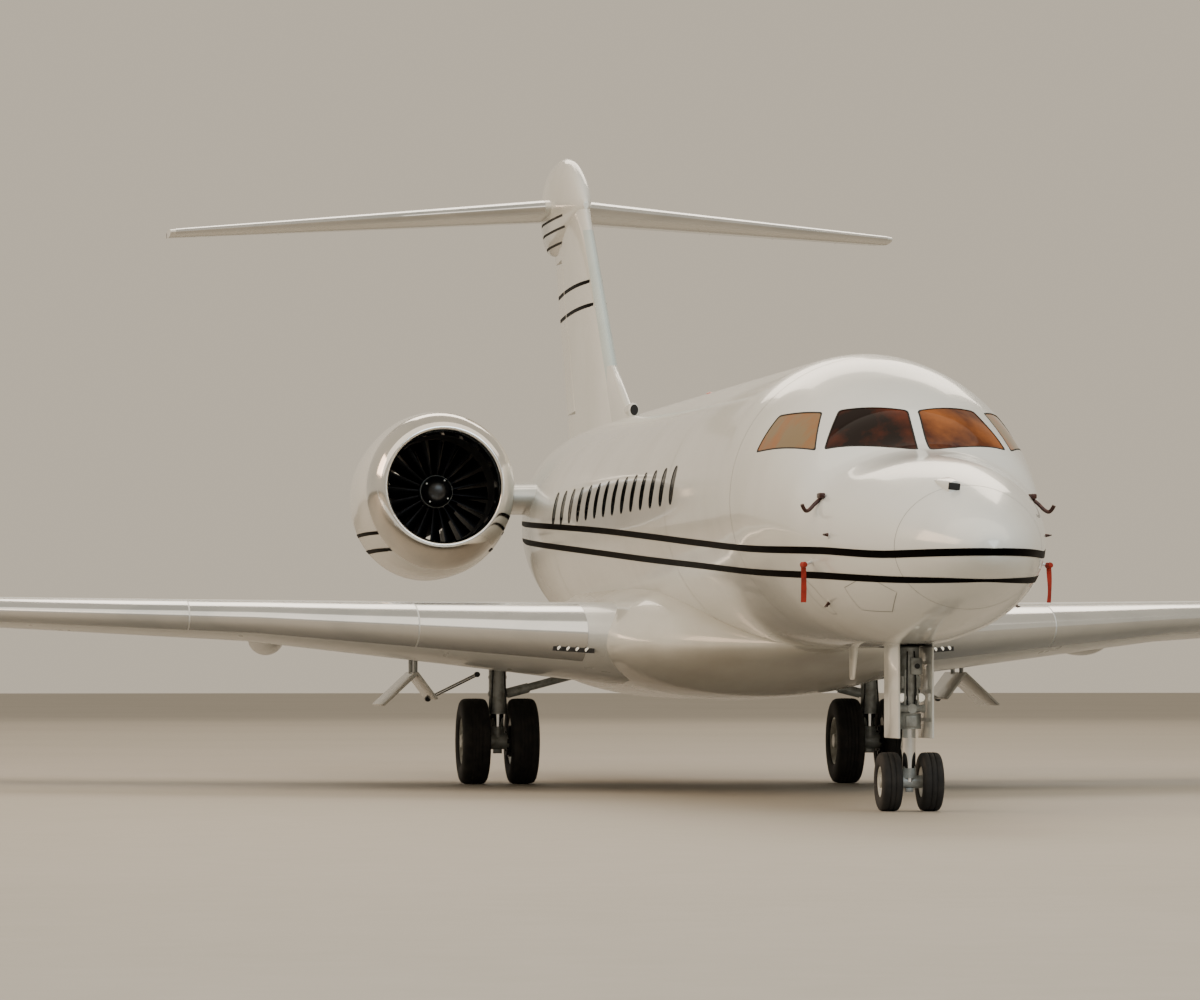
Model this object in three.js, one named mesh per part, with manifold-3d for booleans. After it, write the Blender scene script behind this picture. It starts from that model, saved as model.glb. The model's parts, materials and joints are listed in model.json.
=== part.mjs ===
// Long-range business jet standing on its gear, as a tree of separate solids.
// Millimetres. X to port, Y aft, Z up. The origin is on the ground, on the centreline, at mid length.
import * as THREE from 'three';
import { mergeVertices } from 'three/addons/utils/BufferGeometryUtils.js';
import Module from 'manifold-3d';

const wasm = await Module();
wasm.setup();

// Driving dimensions
const LENGTH = 30300;
const NOSE_Y = -LENGTH / 2;
const SEAT = 0.3;
const CLEAR = 6;
const WALL = 90;
const RING_POINTS = 24;

const MATERIALS = {
  paint: { color: 0xe9ecec, roughness: 0.25, metalness: 0.1 },
  bright: { color: 0xc9ccd0, roughness: 0.2, metalness: 0.9 },
  grey: { color: 0x8d9193, roughness: 0.5, metalness: 0.4 },
  dark: { color: 0x2b2c2e, roughness: 0.6, metalness: 0.3 },
  tyre: { color: 0x161616, roughness: 0.9, metalness: 0.0 },
  glass: { color: 0x6b3a24, roughness: 0.1, metalness: 0.0 },
  floor: { color: 0x77736c, roughness: 0.8, metalness: 0.0 },
  trim: { color: 0xcfc8ba, roughness: 0.5, metalness: 0.0 },
};

const jet = new THREE.Group();

// Solids and booleans

// A closed surface as a solid, turned to face out if it was wound the other way
function solidOf(geometry) {
  geometry.deleteAttribute('normal');
  geometry.deleteAttribute('uv');
  const merged = mergeVertices(geometry, 0.001);
  const vertProperties = new Float32Array(merged.attributes.position.array);
  const triVerts = new Uint32Array(merged.index.array);
  const solid = new wasm.Manifold(new wasm.Mesh({ numProp: 3, vertProperties, triVerts }));
  if (solid.volume() > 0) return solid;
  for (let i = 1; i < triVerts.length; i += 3) {
    [triVerts[i], triVerts[i + 1]] = [triVerts[i + 1], triVerts[i]];
  }
  return new wasm.Manifold(new wasm.Mesh({ numProp: 3, vertProperties, triVerts }));
}

function geometryOf(solid) {
  const mesh = solid.getMesh();
  const geometry = new THREE.BufferGeometry();
  geometry.setAttribute('position', new THREE.BufferAttribute(mesh.vertProperties, 3));
  geometry.setIndex(new THREE.BufferAttribute(mesh.triVerts, 1));
  geometry.computeVertexNormals();
  return geometry;
}

function addPart(name, solid, material) {
  const mesh = new THREE.Mesh(geometryOf(solid), new THREE.MeshStandardMaterial(MATERIALS[material]));
  mesh.name = name;
  jet.add(mesh);
}

function joined(solids) {
  return solids.reduce((sum, solid) => sum.add(solid));
}

function placed(geometry, position, rotation = [0, 0, 0]) {
  const euler = new THREE.Euler(...rotation);
  const matrix = new THREE.Matrix4().makeRotationFromEuler(euler).setPosition(...position);
  return solidOf(geometry.applyMatrix4(matrix));
}

// A box from its two corners, with stations measured from the nose tip
function box([x0, s0, z0], [x1, s1, z1]) {
  const size = [x1 - x0, s1 - s0, z1 - z0];
  return placed(new THREE.BoxGeometry(...size), [(x0 + x1) / 2, NOSE_Y + (s0 + s1) / 2, (z0 + z1) / 2]);
}

// A round bar between two points, with stations measured from the nose tip
function bar(from, to, radius, sides = 16) {
  const [a, b] = [from, to].map(([x, s, z]) => new THREE.Vector3(x, NOSE_Y + s, z));
  const along = b.clone().sub(a);
  const geometry = new THREE.CylinderGeometry(radius, radius, along.length(), sides);
  const upright = new THREE.Vector3(0, 1, 0);
  geometry.applyQuaternion(new THREE.Quaternion().setFromUnitVectors(upright, along.clone().normalize()));
  return placed(geometry, a.add(b).divideScalar(2).toArray());
}

// A skin through rings with an even number of points; each end is closed across the ring
function loft(rings) {
  const count = rings[0].length;
  const positions = rings.flat().flatMap((point) => point.toArray());
  const index = [];
  for (let ring = 0; ring < rings.length - 1; ring += 1) {
    for (let i = 0; i < count; i += 1) {
      const a = ring * count + i;
      const b = ring * count + ((i + 1) % count);
      index.push(a, b, b + count, a, b + count, a + count);
    }
  }
  const last = (rings.length - 1) * count;
  for (let i = 0; i < count / 2 - 1; i += 1) {
    const [a, b, c, d] = [i, i + 1, count - 2 - i, count - 1 - i];
    index.push(a, c, b, a, d, c);
    index.push(last + a, last + b, last + c, last + a, last + c, last + d);
  }
  const geometry = new THREE.BufferGeometry();
  geometry.setAttribute('position', new THREE.Float32BufferAttribute(positions, 3));
  geometry.setIndex(index);
  return solidOf(geometry);
}

// A smooth curve through each column of a table, without overshoot
function tableCurve(rows) {
  const gaps = rows.slice(1).map((row, i) => row[0] - rows[i][0]);
  return (station, column) => {
    const rise = gaps.map((gap, i) => (rows[i + 1][column] - rows[i][column]) / gap);
    const slope = (i) => {
      if (i === 0) return rise[0];
      if (i === rows.length - 1) return rise[i - 1];
      if (rise[i - 1] * rise[i] <= 0) return 0;
      const [w1, w2] = [2 * gaps[i] + gaps[i - 1], gaps[i] + 2 * gaps[i - 1]];
      return (w1 + w2) / (w1 / rise[i - 1] + w2 / rise[i]);
    };
    const i = Math.max(0, Math.min(rows.findLastIndex((row) => row[0] <= station), rows.length - 2));
    const t = (station - rows[i][0]) / gaps[i];
    const [t2, t3] = [t * t, t * t * t];
    return (2 * t3 - 3 * t2 + 1) * rows[i][column] + (t3 - 2 * t2 + t) * gaps[i] * slope(i)
      + (3 * t2 - 2 * t3) * rows[i + 1][column] + (t3 - t2) * gaps[i] * slope(i + 1);
  };
}

// Fuselage: station, half width, top, widest level, bottom
const FUSELAGE = [
  [0, 8, 2238, 2230, 2222],
  [30, 105, 2315, 2230, 2145],
  [120, 210, 2400, 2230, 2060],
  [400, 390, 2550, 2235, 1930],
  [900, 580, 2730, 2250, 1780],
  [1500, 750, 2900, 2285, 1650],
  [2200, 910, 3040, 2350, 1540],
  [2900, 1035, 3140, 2440, 1475],
  [3480, 1150, 3530, 2560, 1445],
  [4200, 1258, 3840, 2670, 1435],
  [5000, 1325, 4040, 2755, 1435],
  [5800, 1345, 4125, 2780, 1435],
  [17600, 1345, 4125, 2780, 1435],
  [19500, 1300, 4125, 2810, 1500],
  [21500, 1130, 4120, 2900, 1690],
  [23500, 860, 4080, 3060, 2060],
  [25500, 530, 3960, 3260, 2560],
  [27000, 250, 3820, 3400, 3010],
];
const FUSELAGE_STATIONS = [0, 40, 160, 450, 900, 1400, 1900, 2400, 2900, 3300, 3700, 4200, 4700, 5300, 5800,
  17600, 19000, 20400, 21800, 23200, 24600, 25900, 27000];

// Belly fairing: the same columns
const BELLY = [
  [7800, 300, 1560, 1480, 1400],
  [8700, 900, 1820, 1480, 1290],
  [9900, 1380, 2080, 1500, 1110],
  [11200, 1570, 2250, 1520, 970],
  [13000, 1620, 2300, 1530, 930],
  [16500, 1600, 2300, 1530, 930],
  [18000, 1380, 2150, 1540, 1060],
  [19400, 880, 1900, 1560, 1300],
  [20300, 300, 1700, 1600, 1500],
];
const BELLY_STATIONS = [7800, 8700, 9800, 11200, 13000, 16500, 17600, 18700, 19500, 20300];

// An egg-shaped ring: half ellipses above and below the widest level
function eggRing(curve, station, grow, count) {
  const [half, top, middle, bottom] = [1, 2, 3, 4].map((column) => curve(station, column));
  const points = [];
  for (let i = 0; i < count; i += 1) {
    const angle = ((i + 0.5) / count) * 2 * Math.PI - Math.PI / 2;
    const height = Math.sin(angle) > 0 ? top - middle : middle - bottom;
    const x = (half + grow) * Math.cos(angle);
    const z = middle + (height + grow) * Math.sin(angle);
    points.push(new THREE.Vector3(x, NOSE_Y + station, z));
  }
  return points;
}

function eggLoft(rows, stations, grow, count = RING_POINTS) {
  const curve = tableCurve(rows);
  return loft(stations.map((station) => eggRing(curve, station, grow, count)));
}

const skin = (grow) => eggLoft(FUSELAGE, FUSELAGE_STATIONS, grow);

// The part of the fuselage between two stations
function slab(from, to) {
  const wide = 3000;
  return box([-wide, from + SEAT / 2, -500], [wide, to - SEAT / 2, 6000]);
}

const outer = skin(0);
const grownSkin = skin(SEAT);

// Cabin inside: from the forward to the aft pressure bulkhead
const CABIN = { from: 1750, to: 20900 };
const insideCabin = (station) => station > CABIN.from && station < CABIN.to;
const cabinStations = [CABIN.from, ...FUSELAGE_STATIONS.filter(insideCabin), CABIN.to];
const cabinSpace = (grow) => eggLoft(FUSELAGE, cabinStations, -WALL + grow);
const inner = cabinSpace(0);

// Tail cone inside, open at the auxiliary power unit's exhaust
const TAIL = { from: 21260, wall: 60 };
const tailStations = [TAIL.from, ...FUSELAGE_STATIONS.filter((s) => s > TAIL.from), 27100];
const tailSpace = eggLoft(FUSELAGE, tailStations, -TAIL.wall);

// Cockpit glass: corners of the starboard panes on the skin, as x, station, z
const PANES = {
  windscreen: [[-55, 2900, 3145], [-810, 3330, 3150], [-600, 3750, 3510], [-40, 3440, 3510]],
  side_window: [[-860, 3400, 3140], [-1190, 4560, 3160], [-980, 4550, 3500], [-710, 3880, 3500]],
};
const GLASS_THICKNESS = 30;

function paneBlock(corners, side, shrink) {
  const points = corners.map(([x, s, z]) => new THREE.Vector3(-side * x, NOSE_Y + s, z));
  const centre = points.reduce((sum, p) => sum.add(p), new THREE.Vector3()).divideScalar(4);
  const normal = points[2].clone().sub(points[0]).cross(points[3].clone().sub(points[1])).normalize();
  const ring = (offset) => points.map((p) => {
    const inward = centre.clone().sub(p).setLength(shrink);
    return p.clone().add(inward).addScaledVector(normal, offset);
  });
  return loft([ring(-260), ring(260)]);
}

function addCockpit(section) {
  const glassLayer = outer.subtract(skin(-GLASS_THICKNESS));
  let shell = section;
  for (const [name, corners] of Object.entries(PANES)) {
    for (const [label, side] of [['left', 1], ['right', -1]]) {
      shell = shell.subtract(paneBlock(corners, side, 0));
      addPart(`${name}_${label}`, glassLayer.intersect(paneBlock(corners, side, SEAT)), 'glass');
    }
  }
  addPart('cockpit_section', shell, 'paint');
}

// Entry door: port side, hinged along its bottom edge
const DOOR = {
  from: 5480, to: 6390, bottom: 1980, top: 3760, topSlope: 0.25, hinge: [1070, 1956], knuckle: 16,
};

function doorBlock(shrink) {
  const [near, far] = [600, 1600];
  const topAt = (x) => DOOR.top + DOOR.topSlope * (x - 766) - shrink;
  const bottom = DOOR.bottom + shrink;
  const section = [[near, bottom], [far, bottom], [far, topAt(far)], [near, topAt(near)]];
  const ring = (station) => section.map(([x, z]) => new THREE.Vector3(x, NOSE_Y + station, z));
  return loft([ring(DOOR.from + shrink), ring(DOOR.to - shrink)]);
}

function hingeBar(from, to) {
  const [x, z] = DOOR.hinge;
  return bar([x, from, z], [x, to, z], DOOR.knuckle);
}

// Treads on the door's inner side, which become steps when it lies open
const STAIRS = { levels: [2330, 2600, 2870, 3140], thickness: 36, depth: 210, margin: 90 };

function airstairs() {
  const { levels, thickness, depth, margin } = STAIRS;
  return levels.map((level) => {
    const tread = box([600, DOOR.from + margin, level], [1600, DOOR.to - margin, level + thickness]);
    return tread.intersect(skin(-WALL / 2)).subtract(skin(-WALL - depth));
  });
}

function addForwardFuselage(section) {
  const lugLength = 70;
  const knuckleSpan = [DOOR.from + 120, DOOR.to - 120];
  const clearance = hingeBar(knuckleSpan[0] - lugLength, knuckleSpan[1] + lugLength);
  const lugs = [
    hingeBar(knuckleSpan[0] - lugLength, knuckleSpan[0] - SEAT),
    hingeBar(knuckleSpan[1] + SEAT, knuckleSpan[1] + lugLength),
  ];
  const sweep = bar([DOOR.hinge[0], knuckleSpan[0] - SEAT, DOOR.hinge[1]],
    [DOOR.hinge[0], knuckleSpan[1] + SEAT, DOOR.hinge[1]], DOOR.knuckle + CLEAR);
  const [x, z] = DOOR.hinge;
  const slot = box([x - 14 - CLEAR, knuckleSpan[0], z], [x + 200, knuckleSpan[1], DOOR.bottom + 1]);
  const shell = section.subtract(doorBlock(0)).subtract(sweep).subtract(slot);
  addPart('forward_fuselage', joined([shell, ...lugs]), 'paint');
  const panel = outer.subtract(inner).intersect(doorBlock(CLEAR)).subtract(clearance);
  const knuckle = hingeBar(...knuckleSpan);
  const web = box([x - 14, knuckleSpan[0] + CLEAR, z], [x + 14, knuckleSpan[1] - CLEAR, DOOR.bottom + 30]);
  addPart('entry_door', joined([panel, knuckle, web, ...airstairs()]), 'paint');
}

// Cabinets that stand on the floor beside the entry: x from, x to, station from, station to
const CABINETS = { galley: [-1400, -430, 5260, 7100], forward_closet: [430, 1400, 6620, 8000] };

function addFuselage() {
  addPart('radome', outer.intersect(slab(-100, 1050)), 'paint');
  const shell = outer.subtract(inner);
  addCockpit(shell.intersect(slab(1050, 5200)));
  addForwardFuselage(shell.intersect(slab(5200, 9000)));
  addPart('centre_fuselage', shell.intersect(slab(9000, 17200)), 'paint');
  addPart('aft_fuselage', shell.intersect(slab(17200, 21200)), 'paint');
  addPart('tail_cone', outer.subtract(tailSpace).intersect(slab(21200, 28000)), 'paint');
  const deck = box([-2000, CABIN.from + 400, 2050], [2000, CABIN.to - 40, 2110]);
  addPart('cabin_floor', cabinSpace(-SEAT).intersect(deck), 'floor');
  for (const [name, [x0, x1, from, to]] of Object.entries(CABINETS)) {
    const block = box([x0, from, 2110 + SEAT], [x1, to, 3820]);
    addPart(name, cabinSpace(-SEAT).intersect(block), 'trim');
  }
}

// Lifting surfaces. Half thickness of a symmetrical aerofoil at a fraction u of the chord
const LEAST_HALF_THICKNESS = 4;

function halfThickness(u, chord, ratio) {
  const shape = 0.2969 * Math.sqrt(u) - 0.126 * u - 0.3516 * u ** 2 + 0.2843 * u ** 3 - 0.1036 * u ** 4;
  return Math.max(LEAST_HALF_THICKNESS, 5 * ratio * chord * shape);
}

// One row of a surface's table: span, leading edge station, chord, height, thickness ratio, twist, cant,
// and rear, the chord fraction where the fixed box ends
function sectionAt(rows, span) {
  const curve = (column) => {
    const i = Math.max(0, Math.min(rows.findLastIndex((row) => row[0] <= span), rows.length - 2));
    const t = (span - rows[i][0]) / (rows[i + 1][0] - rows[i][0]);
    return rows[i][column] + t * (rows[i + 1][column] - rows[i][column]);
  };
  const [leading, chord, height, ratio, twist, cant, rear] = [1, 2, 3, 4, 5, 6, 7].map(curve);
  const hinge = rear + (halfThickness(rear, chord, ratio) + CLEAR + 4) / chord;
  const [twisted, canted] = [twist, cant].map((deg) => (deg * Math.PI) / 180);
  return { span, leading, chord, height, ratio, twist: twisted, cant: canted, rear, hinge };
}

// Chord fractions of the fixed box, of a fixed or seated trailing part, and of a hinged one
const boxed = (section) => [0.002, 0.02, 0.08, 0.25, 0.5, section.rear];
const trailing = (start, beyond = 0) => (section) => [section.rear + start / section.chord,
  (section.rear + 1) / 2, 1 + beyond / section.chord];
const tailed = (section) => [0.6, section.rear, (section.rear + 1) / 2, 1];
const swung = (section) => [section.hinge, (section.hinge + 1) / 2, 1];

// Ring of a section between chord fractions; a round nose is added in front of a control surface.
// upright surfaces run up Z and are thick along X
function surfaceRing(section, pattern, { side = 1, grow = 0, nose = false, upright = false } = {}) {
  const { chord, ratio } = section;
  const stations = pattern(section).map((u) => [u * chord, halfThickness(u, chord, ratio) + grow]);
  if (nose) {
    const [hinge, radius] = stations[0];
    const arc = [80, 55, 30].map((deg) => (deg * Math.PI) / 180);
    stations.unshift(...arc.map((a) => [hinge - radius * Math.sin(a), radius * Math.cos(a)]));
  }
  const line = (sign) => stations.map(([along, half]) => {
    const rise = -(along - chord / 4) * Math.sin(section.twist);
    const y = NOSE_Y + section.leading + along;
    if (upright) return new THREE.Vector3(sign * half, y, section.span);
    const across = side * (section.span - sign * half * Math.sin(section.cant));
    return new THREE.Vector3(across, y, section.height + rise + sign * half * Math.cos(section.cant));
  });
  return [...line(1), ...line(-1).reverse()];
}

function surface(rows, spans, pattern, options) {
  return loft(spans.map((span) => surfaceRing(sectionAt(rows, span), pattern, options)));
}

// Wing: span, leading edge station, chord, height, thickness ratio, twist, cant, rear
const SWEEP = 0.7646;
const wingLeading = (x) => 10100 + SWEEP * x;
const WING = [
  [900, wingLeading(900), 6662, 1500, 0.13, 2, 0, 0.88],
  [4900, wingLeading(4900), 3603, 1765, 0.12, 1, 0, 0.785],
  [9300, wingLeading(9300), 2476, 1935, 0.106, 0, 0, 0.765],
  [13000, wingLeading(13000), 1531, 2030, 0.1, -0.5, 0, 0.76],
];
const AILERON = { from: 9700, to: 12600, swingGap: 26 };
const FLAP = { from: 1950, to: 9688 };
const WINGLET = [
  [13000, wingLeading(13000), 1531, 2030, 0.1, -0.5, 0, 0.76],
  [13550, wingLeading(13550), 1380, 2070, 0.1, 0, 12, 0.76],
  [13960, 21000, 1150, 2250, 0.095, 0, 50, 0.76],
  [14150, 21500, 900, 2680, 0.09, 0, 70, 0.76],
  [14280, 22300, 520, 3410, 0.085, 0, 76, 0.76],
];
const TRACKS = [{ x: 4540, length: 2500, half: 170 }, { x: 7600, length: 2000, half: 150 }];
const whole = (section) => [...boxed(section), 1];
// A fixed trailing part stands this far under the skin of its box
const STEP = 1;

const wingBody = (side, grow) => joined([
  surface(WING, [900, FLAP.from, 4900, 9300, 13000], boxed, { side, grow }),
  surface(WING, [900, FLAP.from - SEAT - grow], tailed, { side, grow: grow - STEP }),
  surface(WING, [AILERON.to + AILERON.swingGap - grow, 13000], tailed, { side, grow: grow - STEP }),
]);

function trackFairing(track, side) {
  const section = sectionAt(WING, track.x);
  const sphere = new THREE.SphereGeometry(1, 12, 8).scale(track.half, track.length / 2, track.half + 20);
  const station = section.leading + 0.86 * section.chord;
  const level = section.height - 0.35 * halfThickness(0.6, section.chord, section.ratio) - 90;
  return placed(sphere, [side * track.x, NOSE_Y + station, level]);
}

function addWing(label, side, cutters) {
  const flap = surface(WING, [FLAP.from, 4900, 9300, FLAP.to], trailing(3 * SEAT), { side });
  const flapSpace = surface(WING, [FLAP.from, 4900, 9300, FLAP.to], trailing(0, SEAT), { side, grow: SEAT });
  const fairings = TRACKS.map((track) => trackFairing(track, side).subtract(flapSpace));
  let body = joined([wingBody(side, 0), ...fairings]);
  for (const cutter of cutters) body = body.subtract(cutter);
  const spans = [AILERON.from + 500, AILERON.to - 500];
  const moving = surface(WING, [AILERON.from, AILERON.to], swung, { side, nose: true });
  const [fixed, aileron] = hinged(body, moving, WING, spans, { side });
  addPart(`wing_${label}`, fixed, 'paint');
  addPart(`aileron_${label}`, aileron, 'paint');
  addPart(`flap_${label}`, flap, 'paint');
  const tip = surface(WINGLET, [13000 + SEAT, 13550, 13960, 14150, 14280], whole, { side });
  addPart(`winglet_${label}`, tip, 'paint');
}

function hingePoint(rows, span, { side = 1, upright = false } = {}) {
  const section = sectionAt(rows, span);
  const along = section.hinge * section.chord;
  const rise = -(along - section.chord / 4) * Math.sin(section.twist);
  const y = NOSE_Y + section.leading + along;
  if (upright) return new THREE.Vector3(0, y, span);
  return new THREE.Vector3(side * span, y, section.height + rise);
}

// A plate square to the hinge line, reaching forward of it and a little beyond it
function hingePlate(rows, span, { width, reach, beyond, height }, options) {
  const [a, b] = [span - 50, span + 50].map((at) => hingePoint(rows, at, options));
  const axis = b.clone().sub(a).normalize();
  const up = options.upright ? new THREE.Vector3(1, 0, 0) : new THREE.Vector3(0, 0, 1);
  const forward = up.clone().cross(axis).normalize();
  if (forward.y > 0) forward.negate();
  const lift = axis.clone().cross(forward).normalize();
  const centre = a.add(b).divideScalar(2).addScaledVector(forward, (reach - beyond) / 2);
  const matrix = new THREE.Matrix4().makeBasis(axis, forward, lift).setPosition(centre);
  if (matrix.determinant() < 0) matrix.makeBasis(axis, forward, lift.negate()).setPosition(centre);
  return solidOf(new THREE.BoxGeometry(width, reach + beyond, height).applyMatrix4(matrix));
}

const PLATE = { width: 24, beyond: 14 };

// Fixed and moving solids of a hinged surface, with hinge plates in slots
function hinged(fixed, moving, rows, spans, options) {
  const radiusAt = (span) => {
    const { hinge, chord, ratio } = sectionAt(rows, span);
    return halfThickness(hinge, chord, ratio);
  };
  const plates = spans.map((span) => {
    const radius = radiusAt(span);
    const { width, beyond } = PLATE;
    const plate = { width, reach: 2 * radius + 30, beyond, height: radius * 0.8 };
    return hingePlate(rows, span, plate, options);
  });
  const slots = spans.map((span) => {
    const radius = radiusAt(span);
    const width = PLATE.width + 2 * SEAT;
    const slot = { width, reach: 3 * radius + 50, beyond: 0.5 * radius + 24, height: radius * 2.6 };
    return hingePlate(rows, span, slot, options);
  });
  return [joined([fixed, ...plates]), slots.reduce((rest, slot) => rest.subtract(slot), moving)];
}

// Tail: fin rows are level, leading edge station, chord, unused, thickness ratio, twist, cant, rear
const FIN = [
  [4050, 20953, 4702, 0, 0.066, 0, 0, 0.7],
  [6850, 24127, 3084, 0, 0.072, 0, 0, 0.68],
];
const DORSAL = [
  [4050, 19900, 3200, 0, 0.06, 0, 0, 0.7],
  [4850, 21750, 1900, 0, 0.08, 0, 0, 0.7],
];
const RUDDER = { from: 4430, to: 6330, footGap: 40, swingGap: 60 };
const STABILISER = [
  [40, 25875, 2889, 7078, 0.088, 0, 0, 0.67],
  [4770, 29090, 1210, 6937, 0.083, 0, 0, 0.67],
];
const ELEVATOR = { from: 520, to: 4630, swingGap: 26 };
const BULLET = [
  [24180, 30, 7000, 6950, 6900],
  [24450, 100, 7210, 7010, 6760],
  [24900, 150, 7430, 7060, 6640],
  [25450, 180, 7610, 7080, 6570],
  [26100, 192, 7690, 7090, 6520],
  [26800, 188, 7650, 7090, 6500],
  [27500, 125, 7490, 7100, 6560],
  [28050, 60, 7300, 7120, 6780],
  [28350, 20, 7180, 7130, 7080],
];
const BULLET_STATIONS = BULLET.map((row) => row[0]);

function addFin(bullet) {
  const options = { upright: true };
  const front = surface(FIN, [4050, 6850], boxed, options);
  const dorsal = surface(DORSAL, [4050, 4850], whole, options);
  const foot = surface(FIN, [4050, RUDDER.from - RUDDER.footGap], tailed, { ...options, grow: -STEP });
  const head = surface(FIN, [RUDDER.to + RUDDER.swingGap, 6850], tailed, { ...options, grow: -STEP });
  const moving = surface(FIN, [RUDDER.from, RUDDER.to], swung, { ...options, nose: true });
  const spans = [RUDDER.from + 350, RUDDER.to - 350];
  const [fixed, rudder] = hinged(joined([front, dorsal, foot, head]), moving, FIN, spans, options);
  addPart('fin', fixed.subtract(grownSkin).subtract(bullet), 'paint');
  addPart('rudder', rudder, 'paint');
}

function addTailplane(label, side, bullet) {
  const options = { side };
  const ends = [40, 4770];
  const front = surface(STABILISER, ends, boxed, options);
  const root = surface(STABILISER, [40, ELEVATOR.from - ELEVATOR.swingGap], tailed, { side, grow: -STEP });
  const tip = surface(STABILISER, [ELEVATOR.to + ELEVATOR.swingGap, 4770], tailed, { side, grow: -STEP });
  const moving = surface(STABILISER, [ELEVATOR.from, ELEVATOR.to], swung, { side, nose: true });
  const spans = [ELEVATOR.from + 500, ELEVATOR.to - 700];
  const [fixed, elevator] = hinged(joined([front, root, tip]), moving, STABILISER, spans, options);
  addPart(`stabiliser_${label}`, fixed.subtract(bullet), 'paint');
  addPart(`elevator_${label}`, elevator, 'paint');
}

function addTail() {
  const bullet = eggLoft(BULLET, BULLET_STATIONS, SEAT, 16);
  addPart('tail_bullet', eggLoft(BULLET, BULLET_STATIONS, 0, 16), 'paint');
  addFin(bullet);
  addTailplane('left', 1, bullet);
  addTailplane('right', -1, bullet);
}

// Engines: axis point at the lip, nose-up pitch, profile as distance behind the lip and radius
const ENGINE = { x: 2340, station: 18980, level: 3320, pitch: (2.5 * Math.PI) / 180 };
const COWL = [
  [0, 655], [25, 715], [120, 790], [450, 875], [1100, 925], [2000, 905], [3200, 765], [4500, 545],
];
const DUCT = [
  [-20, 666], [60, 622], [300, 620], [1130, 622], [1450, 800], [2000, 828], [3200, 690], [4520, 512],
];
const COWL_SIDES = 24;
// The cowl is a little narrower than round, and deeper below, from this far behind the lip
const CHIN = { full: 450, narrow: 0.965, deep: 1.055 };
const FAN = {
  from: 900, to: 1060, radius: 606, hub: 190, blades: 20, sides: 16, root: 40, chord: 130, thickness: 14,
};
const SPINNER = [[FAN.from, FAN.hub], [FAN.from - 110, 130], [FAN.from - 200, 40], [FAN.from - 215, 0]];
const CORE_FRONT = FAN.to + SEAT;
const CORE = [
  [CORE_FRONT, 0], [CORE_FRONT, 200], [1500, 330], [2600, 400], [3700, 380], [4500, 250], [5000, 0],
];
const STRUTS = { count: 6, inner: 220, outer: 870, middle: 1750, length: 450, thickness: 40 };

// Turns a lathe about Y into the engine's axis, running aft from the lip
function alongEngine(geometry, side) {
  const matrix = new THREE.Matrix4().makeTranslation(side * ENGINE.x, NOSE_Y + ENGINE.station, ENGINE.level);
  matrix.multiply(new THREE.Matrix4().makeRotationX(-ENGINE.pitch));
  return solidOf(geometry.applyMatrix4(matrix));
}

function latheAlong(profile, sides, closed) {
  const points = profile.map(([along, radius]) => new THREE.Vector2(radius, along));
  if (closed) points.push(points[0].clone());
  return new THREE.LatheGeometry(points, sides);
}

// The filled outside of a cowl
function cowlOutside(side, grow) {
  const rows = COWL.map(([along, radius]) => [along, radius + grow]);
  const end = COWL.at(-1)[0] + grow;
  const geometry = latheAlong([[-grow, 0], ...rows, [end, 0]], COWL_SIDES, false);
  const points = geometry.attributes.position;
  for (let i = 0; i < points.count; i += 1) {
    const share = Math.min(1, Math.max(0, points.getY(i) / CHIN.full));
    const deepened = points.getZ(i) < 0 ? CHIN.deep : 1;
    points.setX(i, points.getX(i) * (1 + (CHIN.narrow - 1) * share));
    points.setZ(i, points.getZ(i) * (1 + (deepened - 1) * share));
  }
  return alongEngine(geometry, side);
}

function ductSpace(side, grow) {
  const rows = DUCT.map(([along, radius]) => [along, radius + grow]);
  return alongEngine(latheAlong([[DUCT[0][0], 0], ...rows, [DUCT.at(-1)[0], 0]], COWL_SIDES, false), side);
}

function fanRotor(side) {
  const length = FAN.radius - FAN.hub + FAN.root;
  const hub = [[FAN.to, 0], [FAN.to, FAN.hub], ...SPINNER];
  const rotor = [alongEngine(latheAlong(hub, FAN.sides, false), side)];
  for (let i = 0; i < FAN.blades; i += 1) {
    const blade = new THREE.BoxGeometry(length, FAN.thickness, FAN.chord);
    blade.rotateX((55 * Math.PI) / 180).translate(FAN.radius - length / 2, (FAN.from + FAN.to) / 2, 0);
    rotor.push(alongEngine(blade.rotateY((i / FAN.blades) * 2 * Math.PI), side));
  }
  return joined(rotor);
}

function engineCore(side) {
  const { count, inner: root, outer: tip, middle, length, thickness } = STRUTS;
  const core = [alongEngine(latheAlong([...CORE].reverse(), FAN.sides, false), side)];
  for (let i = 0; i < count; i += 1) {
    const strut = new THREE.BoxGeometry(tip - root, length, thickness).translate((tip + root) / 2, middle, 0);
    core.push(alongEngine(strut.rotateY((i / count) * 2 * Math.PI), side));
  }
  return joined(core);
}

function addEngine(label, side, cutters) {
  addPart(`nacelle_${label}`, cowlOutside(side, 0).subtract(ductSpace(side, 0)), 'bright');
  addPart(`fan_${label}`, fanRotor(side), 'dark');
  addPart(`engine_${label}`, engineCore(side).intersect(ductSpace(side, -SEAT).add(tailPipe(side))), 'dark');
  addPylon(label, side, [cowlOutside(side, SEAT), ...cutters]);
}

// Room for the core's cone behind the cowl
function tailPipe(side) {
  const [start, end, radius] = [DUCT.at(-2)[0], CORE.at(-1)[0] + SEAT, 450];
  const profile = [[start, 0], [start, radius], [end, radius], [end, 0]];
  return alongEngine(latheAlong(profile, COWL_SIDES, false), side);
}

// Pylon: the wing's columns
const PYLON = [
  [700, 19500, 4000, 3230, 0.095, 0, 0, 0.75],
  [2000, 19900, 3300, 3230, 0.1, 0, 0, 0.75],
];

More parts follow.
